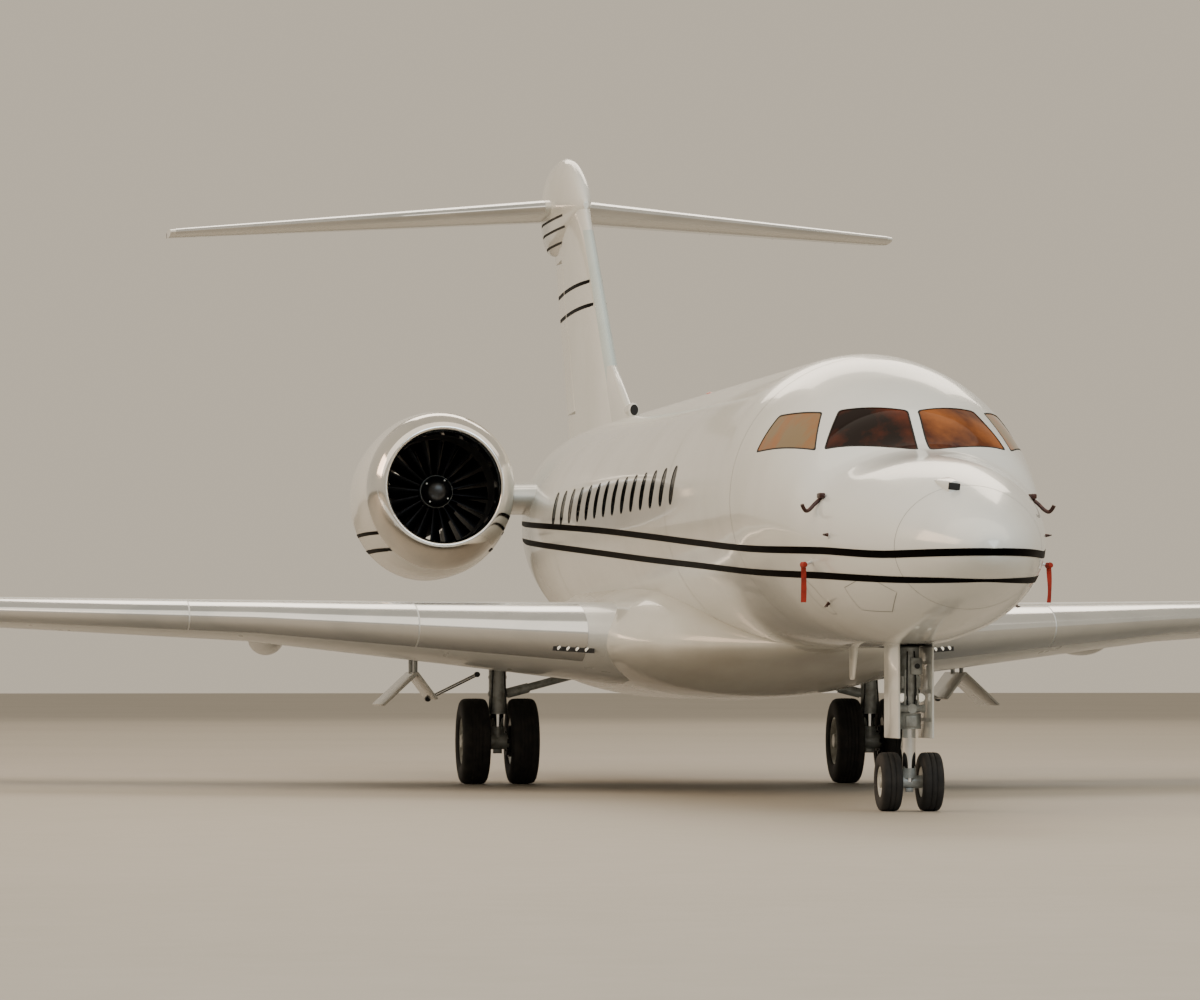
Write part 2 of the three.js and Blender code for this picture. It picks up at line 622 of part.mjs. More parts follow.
function addPylon(label, side, cutters) {
  let pylon = surface(PYLON, [700, 2000], whole, { side });
  for (const cutter of cutters) pylon = pylon.subtract(cutter);
  addPart(`pylon_${label}`, pylon, 'grey');
}

// Wheels: radius, width, half distance between the pair, rim radius, axle radius
const MAIN = { x: 2056, station: 16404, radius: 465, width: 305, half: 266, rim: 250, axle: 55 };
const NOSE = { x: 0, station: 3630, radius: 258, width: 184, half: 183, rim: 130, axle: 32 };

const TYRE_SIDES = 24;
const AXLE_SIDES = 16;
const BEARING_GAP = 1.5;
const HALF_FACET = Math.PI / TYRE_SIDES;

function tyreProfile(wheel) {
  const { width, rim } = wheel;
  const radius = wheel.radius / Math.cos(HALF_FACET);
  const [w, inner] = [width / 2, rim + SEAT];
  return [[-w * 0.72, inner], [-w, (radius + rim) / 2], [-w * 0.9, radius - 32], [-w * 0.5, radius],
    [w * 0.5, radius], [w * 0.9, radius - 32], [w, (radius + rim) / 2], [w * 0.72, inner]];
}

// A lathe turned to run along X, centred on a wheel and standing on one of its facets
function alongX(geometry, x, station, level) {
  return placed(geometry.rotateZ(-Math.PI / 2).rotateX(HALF_FACET), [x, NOSE_Y + station, level]);
}

function addWheels(name, wheel, x) {
  for (const [label, shift] of [['left', wheel.half], ['right', -wheel.half]]) {
    const tyre = latheAlong([...tyreProfile(wheel)].reverse(), TYRE_SIDES, true);
    addPart(`${name}_tyre_${label}`, alongX(tyre, x + shift, wheel.station, wheel.radius), 'tyre');
  }
  const rim = (shift) => {
    const [w, face] = [wheel.width / 2, wheel.width * 0.2];
    const out = Math.sign(shift);
    const profile = [[-w * 0.7, 0], [-w * 0.7, wheel.rim], [w * 0.7, wheel.rim], [face, wheel.rim - 40],
      [face, wheel.axle + 30], [w * 0.9, wheel.axle + 22], [w * 0.9, 0]];
    const turned = profile.map(([along, radius]) => [out * along, radius]);
    const ordered = out > 0 ? turned.reverse() : turned;
    return alongX(latheAlong(ordered, TYRE_SIDES, false), x + shift, wheel.station, wheel.radius);
  };
  const ends = [x - wheel.half, x + wheel.half].map((at) => [at, wheel.station, wheel.radius]);
  const axle = bar(...ends, wheel.axle, AXLE_SIDES);
  addPart(`${name}_axle`, joined([axle, rim(wheel.half), rim(-wheel.half)]), 'grey');
}

// The boss that carries a wheel pair's axle, bored to run round it
function axleBoss(wheel, x, radius) {
  const reach = wheel.half - wheel.width * 0.35 - CLEAR;
  const [a, b] = [[x - reach, wheel.station, wheel.radius], [x + reach, wheel.station, wheel.radius]];
  // The bore's flats clear the axle's corners as it turns
  const boreRadius = wheel.axle / Math.cos(Math.PI / AXLE_SIDES) + BEARING_GAP;
  const ends = [x - wheel.half, x + wheel.half].map((at) => [at, wheel.station, wheel.radius]);
  const bore = bar(...ends, boreRadius, AXLE_SIDES);
  return { boss: bar(a, b, radius, AXLE_SIDES), bore };
}

// A flat pad for a jack under the middle of an axle's boss
function jackPad(x, wheel, { boss, jackPad: half }) {
  const foot = wheel.radius - boss - half / 2;
  return box([x - half, wheel.station - half, foot], [x + half, wheel.station + half, foot + half]);
}

function cut(solid, cutters) {
  return cutters.reduce((rest, cutter) => rest.subtract(cutter), solid);
}

const MAIN_LEG = { top: 1470, cylinder: 95, cylinderEnd: 760, piston: 68, boss: 88, jackPad: 45 };

function addMainGear(label, side, cutters) {
  const x = side * MAIN.x;
  const s = MAIN.station;
  const { boss, bore } = axleBoss(MAIN, x, MAIN_LEG.boss);
  const leg = joined([
    bar([x, s, MAIN_LEG.top], [x, s, MAIN_LEG.cylinderEnd], MAIN_LEG.cylinder, 14),
    bar([x, s, MAIN_LEG.cylinderEnd + 10], [x, s, MAIN.radius], MAIN_LEG.piston, 14),
    boss,
    bar([x, s, 960], [side * 1180, s + 60, 1190], 42, 10),
    box([x - 45, s + 60, 900], [x + 45, s + 190, 960]),
    jackPad(x, MAIN, MAIN_LEG),
    bar([x, s + 165, 930], [x, s + 240, 700], 32, 8),
    bar([x, s + 240, 700], [x, s + 60, MAIN.radius + 10], 32, 8),
  ]);
  addPart(`main_gear_leg_${label}`, cut(leg, [bore, ...cutters]), 'grey');
  addWheels(`main_${label}`, MAIN, x);
  addMainDoor(label, side, cutters);
}

// Main gear door: a bent panel on two arms under the wing. Corners as x, z
const MAIN_DOOR = {
  from: 15730, to: 16860, thickness: 26, corners: [[3370, 860], [3000, 1205], [2790, 925]], arms: [250, 720],
};

function addMainDoor(label, side, cutters) {
  const { from, to, thickness, corners, arms } = MAIN_DOOR;
  const [outerFoot, ridge, innerFoot] = corners;
  const plate = ([x0, z0], [x1, z1]) => {
    const length = Math.hypot(x1 - x0, z1 - z0);
    const angle = -Math.atan2(z1 - z0, side * (x1 - x0));
    const geometry = new THREE.BoxGeometry(length, to - from, thickness);
    return placed(geometry, [(side * (x0 + x1)) / 2, NOSE_Y + (from + to) / 2, (z0 + z1) / 2], [0, angle, 0]);
  };
  const [x, z] = [side * ridge[0], ridge[1]];
  const armBars = arms.map((along) => bar([x, from + along, z - 5], [x, from + along, 1500], 24, 8));
  const ridgeBar = bar([x, from, z], [x, to, z], thickness / 2, 10);
  const door = joined([plate(outerFoot, ridge), plate(ridge, innerFoot), ridgeBar, ...armBars]);
  addPart(`main_gear_door_${label}`, cut(door, cutters), 'paint');
}

const NOSE_LEG = {
  top: 1650, cylinder: 88, cylinderEnd: 860, collar: 105, collarEnd: 720, piston: 58, boss: 56, jackPad: 32,
};

function addNoseGear() {
  const s = NOSE.station;
  const { boss, bore } = axleBoss(NOSE, 0, NOSE_LEG.boss);
  const leg = joined([
    bar([0, s, NOSE_LEG.top], [0, s, NOSE_LEG.cylinderEnd], NOSE_LEG.cylinder, 14),
    bar([0, s, 1010], [0, s + 620, 1600], 40, 10),
  ]);
  addPart('nose_gear_leg', leg.subtract(grownSkin), 'grey');
  const steering = joined([
    bar([0, s, NOSE_LEG.cylinderEnd - SEAT], [0, s, NOSE_LEG.collarEnd], NOSE_LEG.collar, 14),
    bar([0, s, NOSE_LEG.collarEnd + 10], [0, s, NOSE.radius], NOSE_LEG.piston, 14),
    boss,
    bar([0, s + 60, 730], [0, s + 165, 560], 20, 8),
    bar([0, s + 165, 560], [0, s + 40, 400], 20, 8),
    jackPad(0, NOSE, NOSE_LEG),
  ]);
  addPart('nose_steering', steering.subtract(bore), 'grey');
  addWheels('nose', NOSE, 0);
  for (const [label, side] of [['left', 1], ['right', -1]]) {
    const plate = box([side * 150 - 9, s - 330, 640], [side * 150 + 9, s + 330, 1600]);
    addPart(`nose_gear_door_${label}`, plate.subtract(grownSkin), 'paint');
  }
}

function addBellyAndWings() {
  const fairing = eggLoft(BELLY, BELLY_STATIONS, 0).subtract(grownSkin);
  addPart('belly_fairing', fairing, 'paint');
  const bellySpace = eggLoft(BELLY, BELLY_STATIONS, SEAT);
  for (const [label, side] of [['left', 1], ['right', -1]]) {
    addWing(label, side, [bellySpace, grownSkin]);
    const wingSpace = wingBody(side, SEAT);
    addMainGear(label, side, [wingSpace, bellySpace, grownSkin]);
  }
}

addFuselage();
addBellyAndWings();
addTail();
for (const [label, side] of [['left', 1], ['right', -1]]) addEngine(label, side, [grownSkin]);
addNoseGear();

export default jet;
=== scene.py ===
import bmesh
import bpy
import json
from functools import lru_cache
from math import asin, atan2, copysign, cos, degrees, hypot, pi, radians, sin, sqrt
from mathutils import Matrix, Vector

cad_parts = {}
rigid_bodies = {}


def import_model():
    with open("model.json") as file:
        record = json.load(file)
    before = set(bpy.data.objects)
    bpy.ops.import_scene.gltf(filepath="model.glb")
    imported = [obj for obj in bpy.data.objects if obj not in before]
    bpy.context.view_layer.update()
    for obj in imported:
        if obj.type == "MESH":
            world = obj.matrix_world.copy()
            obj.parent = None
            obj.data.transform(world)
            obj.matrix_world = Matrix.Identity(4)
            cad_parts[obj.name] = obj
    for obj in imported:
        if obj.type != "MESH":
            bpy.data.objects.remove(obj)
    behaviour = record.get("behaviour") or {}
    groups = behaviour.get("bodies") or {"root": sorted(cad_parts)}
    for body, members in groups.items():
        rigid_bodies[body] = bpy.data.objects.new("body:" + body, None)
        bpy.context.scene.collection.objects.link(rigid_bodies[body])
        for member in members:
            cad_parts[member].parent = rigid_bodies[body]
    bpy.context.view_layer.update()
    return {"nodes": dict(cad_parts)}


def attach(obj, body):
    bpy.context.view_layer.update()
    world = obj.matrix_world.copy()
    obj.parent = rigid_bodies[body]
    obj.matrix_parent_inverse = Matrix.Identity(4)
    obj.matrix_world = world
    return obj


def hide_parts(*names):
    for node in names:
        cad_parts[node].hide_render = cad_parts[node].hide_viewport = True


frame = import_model()
print("frame loaded")

# Stations run aft from the nose tip; the origin is at mid length
noseY = -15.15
sides = {"left": 1, "right": -1}

# Camera: fitted to the wheels, the tailplane's tips and the fuselage in the photograph
view = {"place": (-9.858, -61.890, 1.228), "yaw": 8.049, "pitch": 1.676, "lens": 175.3, "sensor": 36.0}


def addCamera():
    lens = bpy.data.cameras.new("camera")
    lens.lens, lens.sensor_width = view["lens"], view["sensor"]
    lens.clip_end = 500
    camera = bpy.data.objects.new("camera", lens)
    camera.location = view["place"]
    camera.rotation_euler = (radians(90 + view["pitch"]), 0, -radians(view["yaw"]))
    bpy.context.scene.collection.objects.link(camera)
    bpy.context.scene.camera = camera


addCamera()
print("camera placed")


# Finishes
def channel(value):
    share = int(value, 16) / 255
    return share / 12.92 if share <= 0.04045 else ((share + 0.055) / 1.055) ** 2.4


def linear(code):
    return (channel(code[0:2]), channel(code[2:4]), channel(code[4:6]), 1.0)


def addNode(tree, kind, settings=None, values=None, links=None):
    node = tree.nodes.new("ShaderNode" + kind)
    for name, value in (settings or {}).items():
        setattr(node, name, value)
    for name, value in (values or {}).items():
        node.inputs[name].default_value = value
    for name, socket in (links or {}).items():
        tree.links.new(socket, node.inputs[name])
    return node


finishes = {}


# cloud is the size in metres of the patches of tint, grain that of the roughness and relief
def addFinish(name, colour, tint, share, roughness, spread=0.06, metallic=0.0, coat=0.0, cloud=1.5,
              grain=0.01, relief=0.0, stretch=(1, 1, 1), emission=0.0, gloss=0.5):
    made = finishes[name] = bpy.data.materials.new(name)
    made.use_nodes = True
    tree = made.node_tree
    tree.nodes.clear()
    own = addNode(tree, "TexCoord").outputs["Object"]
    mapped = addNode(tree, "Mapping", values={"Scale": stretch}, links={"Vector": own})
    spot = {"Vector": mapped.outputs["Vector"]}
    patches = addNode(tree, "TexNoise", links=spot,
                      values={"Scale": 1 / cloud, "Detail": 5, "Roughness": 0.55})
    shown = addNode(tree, "MapRange", values={"From Min": 0.42, "From Max": 0.68, "To Max": share},
                    links={"Value": patches.outputs["Fac"]})
    base = addNode(tree, "Mix", settings={"data_type": "RGBA"}, links={"Factor": shown.outputs["Result"]})
    base.inputs[6].default_value, base.inputs[7].default_value = linear(colour), linear(tint)
    fine = addNode(tree, "TexNoise", values={"Scale": 1 / grain, "Detail": 3}, links=spot)
    ends = {"To Min": max(0.02, roughness - spread), "To Max": roughness + spread}
    dull = addNode(tree, "MapRange", values=ends, links={"Value": fine.outputs["Fac"]})
    shader = addNode(tree, "BsdfPrincipled",
                     values={"Metallic": metallic, "Coat Weight": coat, "Coat Roughness": 0.05},
                     links={"Base Color": base.outputs[2], "Roughness": dull.outputs["Result"]})
    if relief:
        bump = addNode(tree, "Bump", values={"Distance": relief, "Strength": 0.5},
                       links={"Height": fine.outputs["Fac"]})
        tree.links.new(bump.outputs["Normal"], shader.inputs["Normal"])
    if emission:
        shader.inputs["Emission Color"].default_value = linear(colour)
        shader.inputs["Emission Strength"].default_value = emission
    if gloss != 0.5:
        shader.inputs["Specular IOR Level"].default_value = gloss
    addNode(tree, "OutputMaterial", links={"Surface": shader.outputs["BSDF"]})
    made.diffuse_color = linear(colour)
    return made


# sprayed polyurethane topcoat: deep clear gloss, faint grime in broad clouds
addFinish("whitePaint", "e4e8e7", "d3d6d2", 0.8, 0.2, spread=0.04, coat=0.6, cloud=2.4, grain=0.03)
# the same topcoat on the wing, greyer and more weathered
addFinish("wingPaint", "d6dada", "c3c8c8", 0.7, 0.28, spread=0.02, coat=0.35, cloud=1.6, grain=0.3,
          stretch=(1, 0.35, 1))
# belly paint with oil film and road dirt thrown up by the nose wheels
addFinish("bellyPaint", "d6d8d3", "b3aea2", 0.7, 0.24, spread=0.03, coat=0.45, cloud=1.3, grain=0.2,
          stretch=(1, 0.3, 1))
# black polyurethane stripe
addFinish("stripePaint", "050403", "100a08", 0.6, 0.4, spread=0.04, gloss=0.005, cloud=0.6, grain=0.03)
# bare aluminium leading edge, polished by hand: mirror with long soft streaks
addFinish("polishedSkin", "dfe3e6", "b9c2c8", 0.55, 0.15, spread=0.02, metallic=1.0, cloud=0.7, grain=0.4,
          stretch=(0.25, 1, 1))
# pale blue-grey satin paint over the fin's de-icing edge; its pale blue is a painted reflection of the sky
addFinish("edgePaintSkyReflection", "c6d6d8", "aebfc1", 0.5, 0.25, spread=0.03, coat=0.3, cloud=0.8, grain=0.3)
# nickel-plated inlet lip
addFinish("polishedLip", "e6e4e0", "c9ccce", 0.5, 0.12, spread=0.04, metallic=1.0, cloud=0.35, grain=0.04)
# exhaust alloy, heat-stained straw to blue-brown
addFinish("heatedMetal", "8d8378", "5f5048", 0.9, 0.38, spread=0.1, metallic=1.0, cloud=0.25, grain=0.02,
          stretch=(1, 0.4, 1))
# titanium fan blades in the shade of the duct
addFinish("fanMetal", "1a1b1e", "0d0e10", 0.8, 0.36, spread=0.08, metallic=0.9, cloud=0.08, grain=0.004,
          stretch=(1, 1, 3))
# acoustic liner: perforated grey composite drawn near-black, with the duct's shade painted in, holes drawn
# at 12 mm
addFinish("ductLinerPaintedShade", "121314", "0a0a0b", 0.8, 0.55, cloud=0.2, grain=0.012, relief=0.0008)
addFinish("spinnerPaint", "08090a", "101113", 0.7, 0.3, cloud=0.1, grain=0.01)
# cast and machined gear steel under grey-white enamel, with grime in random patches
addFinish("gearEnamel", "b9bebd", "6f706c", 0.75, 0.36, spread=0.1, metallic=0.1, coat=0.2, cloud=0.1,
          grain=0.006, relief=0.0004)
addFinish("darkSteel", "3b3c3d", "242424", 0.8, 0.45, spread=0.12, metallic=0.8, cloud=0.07, grain=0.005,
          relief=0.0004)
# hard chrome on the sliding oleo tube
addFinish("chrome", "e8eaec", "c5cace", 0.4, 0.07, spread=0.03, metallic=1.0, cloud=0.1, grain=0.01)
# tyre rubber: matt, dusty on the shoulders, fine mould texture drawn at 6 mm
addFinish("tyreRubber", "151516", "2c2a28", 0.75, 0.78, spread=0.1, cloud=0.12, grain=0.006, relief=0.0006)
# forged aluminium wheel, cream-white enamel
addFinish("wheelEnamel", "cfd1cb", "8b8a83", 0.7, 0.34, spread=0.08, metallic=0.1, coat=0.3, cloud=0.08,
          grain=0.006)
# cockpit glass with a gold heating film, and the shades' copper colour behind it, drawn opaque; its copper
# patches are partly a painted reflection of warm light
film = {"spread": 0.02, "grain": 0.3, "stretch": (1, 1, 0.35)}
addFinish("cockpitGlass", "120604", "6a2a0e", 0.9, 0.05, gloss=0.09, cloud=0.6, **film)
# the port windscreen, redder from a painted reflection of warm light, and the side windows, where pale
# blinds show through under the same painted reflection
addFinish("redGlass", "340c07", "9a5a2a", 0.9, 0.05, gloss=0.09, cloud=0.6, **film)
addFinish("amberGlass", "85745a", "a05e2c", 1.0, 0.05, gloss=0.12, cloud=0.45, **film)
# cabin windows: smoked acrylic, dark from outside, drawn opaque and near-black as painted shade of the cabin
# behind
addFinish("cabinGlass", "080b0b", "141a1a", 0.6, 0.08, spread=0.03, gloss=0.03, cloud=0.3, grain=0.2)
addFinish("sealRubber", "1c1b1a", "2a2826", 0.6, 0.6, gloss=0.2, cloud=0.1, grain=0.004)
# panel gaps: sealant gone dark
addFinish("panelGap", "7b7f7e", "5c5f5e", 0.7, 0.6, cloud=0.4, grain=0.01)
# anodised probes with burnt tips
addFinish("probeMetal", "3a2420", "5a3a30", 0.8, 0.4, metallic=0.6, cloud=0.04, grain=0.003)
# woven nylon pitot cover and streamer, sun-faded red
addFinish("coverCloth", "a32a18", "7a1d12", 0.8, 0.85, cloud=0.05, grain=0.002, relief=0.0004)
# lacquered veneer and leather in the cabin
addFinish("veneer", "8a5a34", "5e3a20", 0.9, 0.25, coat=0.6, cloud=0.12, grain=0.01, stretch=(6, 1, 0.6))
addFinish("cabinLiner", "d9d3c6", "c6bfb0", 0.7, 0.7, cloud=0.3, grain=0.004, relief=0.0003)
addFinish("carpet", "6d6459", "574f46", 0.9, 0.95, cloud=0.05, grain=0.003, relief=0.0015)
# lamp glass, clear and coloured, with a faint glow of its own
lit = {"spread": 0.02, "coat": 1.0, "cloud": 0.05, "grain": 0.02}
addFinish("lampGlass", "fdf6e4", "f3ead2", 0.4, 0.05, emission=0.5, **lit)
addFinish("portLamp", "a01210", "7d0d0c", 0.5, 0.06, emission=0.2, **lit)
addFinish("starboardLamp", "0f8a4a", "0b6a38", 0.5, 0.06, emission=0.2, **lit)
addFinish("beaconGlass", "c23018", "93220f", 0.5, 0.08, emission=0.2, **lit)
# black paint on the wicks and the stair grips, and painted shade in holes, slots, mouths, throats and the
# nose bay
addFinish("blackPaintAndShade", "0b0b0c", "141415", 0.5, 0.7, cloud=0.1, grain=0.01)
print("finishes mixed:", len(finishes))


# Making pieces
def meshOf(bm, name="shape", close=True):
    if close:
        bmesh.ops.recalc_face_normals(bm, faces=bm.faces)
    bm.normal_update()
    mesh = bpy.data.meshes.new(name)
    bm.to_mesh(mesh)
    bm.free()
    return mesh


def smoothed(mesh, angle):
    mesh.shade_smooth()
    mesh.set_sharp_from_angle(angle=radians(angle))


def addMesh(name, mesh, materials, body="airframe", replaces=(), slot=None, angle=40):
    for material in materials:
        mesh.materials.append(finishes[material])
    made = bpy.data.objects.new(name, mesh)
    bpy.context.scene.collection.objects.link(made)
    smoothed(mesh, angle)
    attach(made, body)
    if replaces:
        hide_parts(*replaces)
    return made


def addPiece(name, bm, materials, close=True, **more):
    return addMesh(name, meshOf(bm, name, close), materials, **more)


def paint(verts, material):
    faces = {face for point in verts for face in point.link_faces}
    for face in faces:
        face.material_index = material
    return faces


# A skin over rings of points: a grid whose points are moved into place, with its seam merged.
# strips holds a material for each row of faces
def skinOver(bm, rings, caps=True, material=0, closed=True, strips=None):
    around, along = len(rings[0]), len(rings) - 1
    columns = around if closed else around - 1
    before = set(bm.faces)
    made = bmesh.ops.create_grid(bm, x_segments=columns, y_segments=along, size=1)
    for face in paint(made["verts"], material):
        row = round((min(point.co.y for point in face.verts) + 1) / 2 * along)
        if strips:
            face.material_index = strips[row]
    for point in made["verts"]:
        column = round((point.co.x + 1) / 2 * columns) % around
        row = round((point.co.y + 1) / 2 * along)
        point.co = rings[row][column]
    if closed:
        bmesh.ops.remove_doubles(bm, verts=made["verts"], dist=1e-6)
    faces = [face for face in bm.faces if face not in before]
    if caps and closed:
        edges = list({edge for face in faces for edge in face.edges if edge.is_boundary})
        for face in bmesh.ops.holes_fill(bm, edges=edges, sides=0)["faces"]:
            face.material_index = material
            faces.append(face)
    return faces


# Cuts one object's mesh with another closed mesh
def carve(made, cutter, operation="DIFFERENCE"):
    scene = bpy.context.scene.collection.objects
    tool = bpy.data.objects.new("cutter", cutter)
    scene.link(tool)
    step = made.modifiers.new("carve", "BOOLEAN")
    step.object, step.operation, step.solver = tool, operation, "EXACT"
    bpy.context.view_layer.update()
    shaped = made.evaluated_get(bpy.context.evaluated_depsgraph_get())
    result = bpy.data.meshes.new_from_object(shaped)
    made.modifiers.clear()
    old, made.data = made.data, result
    bpy.data.objects.remove(tool)
    bpy.data.meshes.remove(cutter)
    result.name = old.name
    return result


# Draws a bmesh's only face out into a prism
def drawOut(bm, along, material):
    drawn = bmesh.ops.extrude_face_region(bm, geom=list(bm.faces))
    raised = [item for item in drawn["geom"] if isinstance(item, bmesh.types.BMVert)]
    bmesh.ops.translate(bm, verts=raised, vec=along)
    paint(bm.verts, material)
    return raised


def tube(bm, start, end, radius, segments=20, material=0, endRadius=None):
    a, b = Vector(start), Vector(end)
    matrix = Matrix.Translation((a + b) / 2) @ (b - a).to_track_quat("Z", "Y").to_matrix().to_4x4()
    made = bmesh.ops.create_cone(bm, cap_ends=True, segments=segments, radius1=radius, depth=(b - a).length,
                                 radius2=radius if endRadius is None else endRadius, matrix=matrix)
    paint(made["verts"], material)


# A rod with a point as its middle, reaching as far to either side
def pin(bm, middle, reach, radius, segments=20, material=0):
    tube(bm, middle - Vector(reach), middle + Vector(reach), radius, segments, material)


# Rods from rows of start, end, radius, number of sides and, where they differ, material and end radius.
# Points are x and station past the given ones, and the height
def rods(bm, x, station, side, rows):
    for start, end, *rest in rows:
        tube(bm, *(place(x + side * out, station + aft, z) for out, aft, z in (start, end)), *rest)


def ball(bm, centre, size, around, rings):
    matrix = Matrix.Translation(centre) @ Matrix.Diagonal((*size, 1))
    bmesh.ops.create_uvsphere(bm, u_segments=around, v_segments=rings, radius=1, matrix=matrix)


def block(bm, centre, size, turn=(0, 0, 0), bevel=0.0, material=0):
    matrix = Matrix.Translation(centre)
    for axis, amount in zip("XYZ", turn):
        matrix = matrix @ Matrix.Rotation(radians(amount), 4, axis)
    matrix = matrix @ Matrix.Diagonal((*size, 1))
    made = bmesh.ops.create_cube(bm, size=1, matrix=matrix)
    faces = paint(made["verts"], material)
    if bevel:
        edges = list({edge for face in faces for edge in face.edges})
        bmesh.ops.bevel(bm, geom=edges, offset=bevel, offset_type="OFFSET", segments=2, profile=0.5,
                        affect="EDGES", clamp_overlap=True, material=-1)


# Turns a profile of (along, radius) about an axis through the centre
def turned(bm, profile, centre, axis="X", steps=48, material=0, closed=False, flip=1):
    direction = {"X": Vector((1, 0, 0)), "Y": Vector((0, 1, 0)), "Z": Vector((0, 0, 1))}[axis]
    across = {"X": Vector((0, 0, 1)), "Y": Vector((1, 0, 0)), "Z": Vector((1, 0, 0))}[axis]
    points = [bm.verts.new(Vector(centre) + direction * flip * along + across * max(radius, 0.0))
              for along, radius in profile]
    edges = [bm.edges.new(pair) for pair in zip(points, points[1:])]
    if closed:
        edges.append(bm.edges.new((points[-1], points[0])))
    before = set(bm.faces)
    bmesh.ops.spin(bm, geom=points + edges, cent=centre, axis=direction, angle=2 * pi, steps=steps,
                   use_merge=True)
    made = [face for face in bm.faces if face not in before]
    for face in made:
        face.material_index = material
    merged = list({point for face in made for point in face.verts})
    bmesh.ops.remove_doubles(bm, verts=merged, dist=1e-5)
    made = [face for face in made if face.is_valid]
    bmesh.ops.recalc_face_normals(bm, faces=made)
    return made


# A pipe along points, as a curve turned into a mesh
def addPipe(name, lines, radius, material, body="airframe"):
    curve = bpy.data.curves.new(name, "CURVE")
    curve.dimensions, curve.bevel_depth, curve.bevel_resolution, curve.use_fill_caps = "3D", radius, 3, True
    for line in lines:
        spline = curve.splines.new("NURBS")
        spline.points.add(len(line) - 1)
        for target, point in zip(spline.points, line):
            target.co = (*point, 1)
        spline.use_endpoint_u, spline.order_u = True, 3
    curve.resolution_u = 4
    holder = bpy.data.objects.new(name + "_line", curve)
    bpy.context.scene.collection.objects.link(holder)
    bpy.context.view_layer.update()
    mesh = bpy.data.meshes.new_from_object(holder.evaluated_get(bpy.context.evaluated_depsgraph_get()))
    bpy.data.objects.remove(holder)
    addMesh(name, mesh, [material], body, angle=35)


def tableCurve(rows):
    gaps = [b[0] - a[0] for a, b in zip(rows, rows[1:])]

    @lru_cache(maxsize=None)
    def value(station, column):
        rise = [(b[column] - a[column]) / gap for a, b, gap in zip(rows, rows[1:], gaps)]

        def slope(i):
            if i in (0, len(rows) - 1):
                return rise[min(i, len(rise) - 1)]
            if rise[i - 1] * rise[i] <= 0:
                return 0
            w1, w2 = 2 * gaps[i] + gaps[i - 1], gaps[i] + 2 * gaps[i - 1]
            return (w1 + w2) / (w1 / rise[i - 1] + w2 / rise[i])

        i = max(0, min(sum(row[0] <= station for row in rows) - 1, len(rows) - 2))
        t = (station - rows[i][0]) / gaps[i]
        return ((2 * t**3 - 3 * t**2 + 1) * rows[i][column] + (t**3 - 2 * t**2 + t) * gaps[i] * slope(i)
                + (3 * t**2 - 2 * t**3) * rows[i + 1][column] + (t**3 - t**2) * gaps[i] * slope(i + 1))

    return value


def spread(start, end, count):
    return [start + (end - start) * i / count for i in range(count + 1)]


# Angles round a circle, from a first one given in steps
def turns(count, offset=0.0):
    return [2 * pi * (i + offset) / count for i in range(count)]


def place(x, station, z):
    return Vector((x, noseY + station, z))


# Fuselage: station, half width, top, widest level, bottom
fuselage = {
    "rows": [
        (0, 0.008, 2.238, 2.23, 2.222), (0.03, 0.105, 2.315, 2.23, 2.145), (0.12, 0.21, 2.4, 2.23, 2.06),
        (0.4, 0.39, 2.55, 2.235, 1.93), (0.9, 0.58, 2.73, 2.25, 1.78), (1.5, 0.75, 2.9, 2.285, 1.65),
        (2.2, 0.91, 3.04, 2.35, 1.54), (2.9, 1.035, 3.14, 2.44, 1.475), (3.48, 1.15, 3.53, 2.56, 1.445),
        (4.2, 1.258, 3.84, 2.67, 1.435), (5.0, 1.325, 4.04, 2.755, 1.435), (5.8, 1.345, 4.125, 2.78, 1.435),
        (17.6, 1.345, 4.125, 2.78, 1.435), (19.5, 1.3, 4.125, 2.81, 1.5), (21.5, 1.13, 4.12, 2.9, 1.69),
        (23.5, 0.86, 4.08, 3.06, 2.06), (25.5, 0.53, 3.96, 3.26, 2.56), (27.0, 0.25, 3.82, 3.4, 3.01)],
    "around": 120, "wall": 0.06,
}
skinCurve = tableCurve(fuselage["rows"])


# On a body of rings: half width, widest level, and the height above or below it
def girth(curve, station, z, digits=5):
    half, top, middle, bottom = (curve(round(station, digits), column) for column in (1, 2, 3, 4))
    return half, middle, top - middle if z > middle else middle - bottom


def eggPoint(curve, station, angle, grow=0.0):
    half, top, middle, bottom = (curve(round(station, 5), column) for column in (1, 2, 3, 4))
    height = top - middle if sin(angle) > 0 else middle - bottom
    return place((half + grow) * cos(angle), station, middle + (height + grow) * sin(angle))


def eggRing(curve, station, grow, count):
    return [eggPoint(curve, station, turn - pi / 2, grow) for turn in turns(count)]


# The skin's own direction at a point, for clean reflections round the cut openings
def eggNormal(curve, point):
    station = point.y - noseY
    half, middle, height = girth(curve, station, point.z, 4)
    angle = atan2((point.z - middle) / height, point.x / half)
    step = 0.01
    along = eggPoint(curve, station + step, angle) - eggPoint(curve, max(0.0, station - step), angle)
    across = eggPoint(curve, station, angle + step) - eggPoint(curve, station, angle - step)
    normal = across.cross(along).normalized()
    outward = Vector((cos(angle), 0, sin(angle)))
    return normal if normal.dot(outward) > 0 else -normal


# Gives the outer skin's corners the skin's own directions
def cleanNormals(mesh, curve):
    known = {}
    normals = [(0, 0, 0)] * len(mesh.loops)
    for face in mesh.polygons:
        if face.material_index != 0:
            continue
        for loop in face.loop_indices:
            index = mesh.loops[loop].vertex_index
            if index not in known:
                known[index] = eggNormal(curve, mesh.vertices[index].co)
            normals[loop] = known[index]
    mesh.normals_split_custom_set(normals)


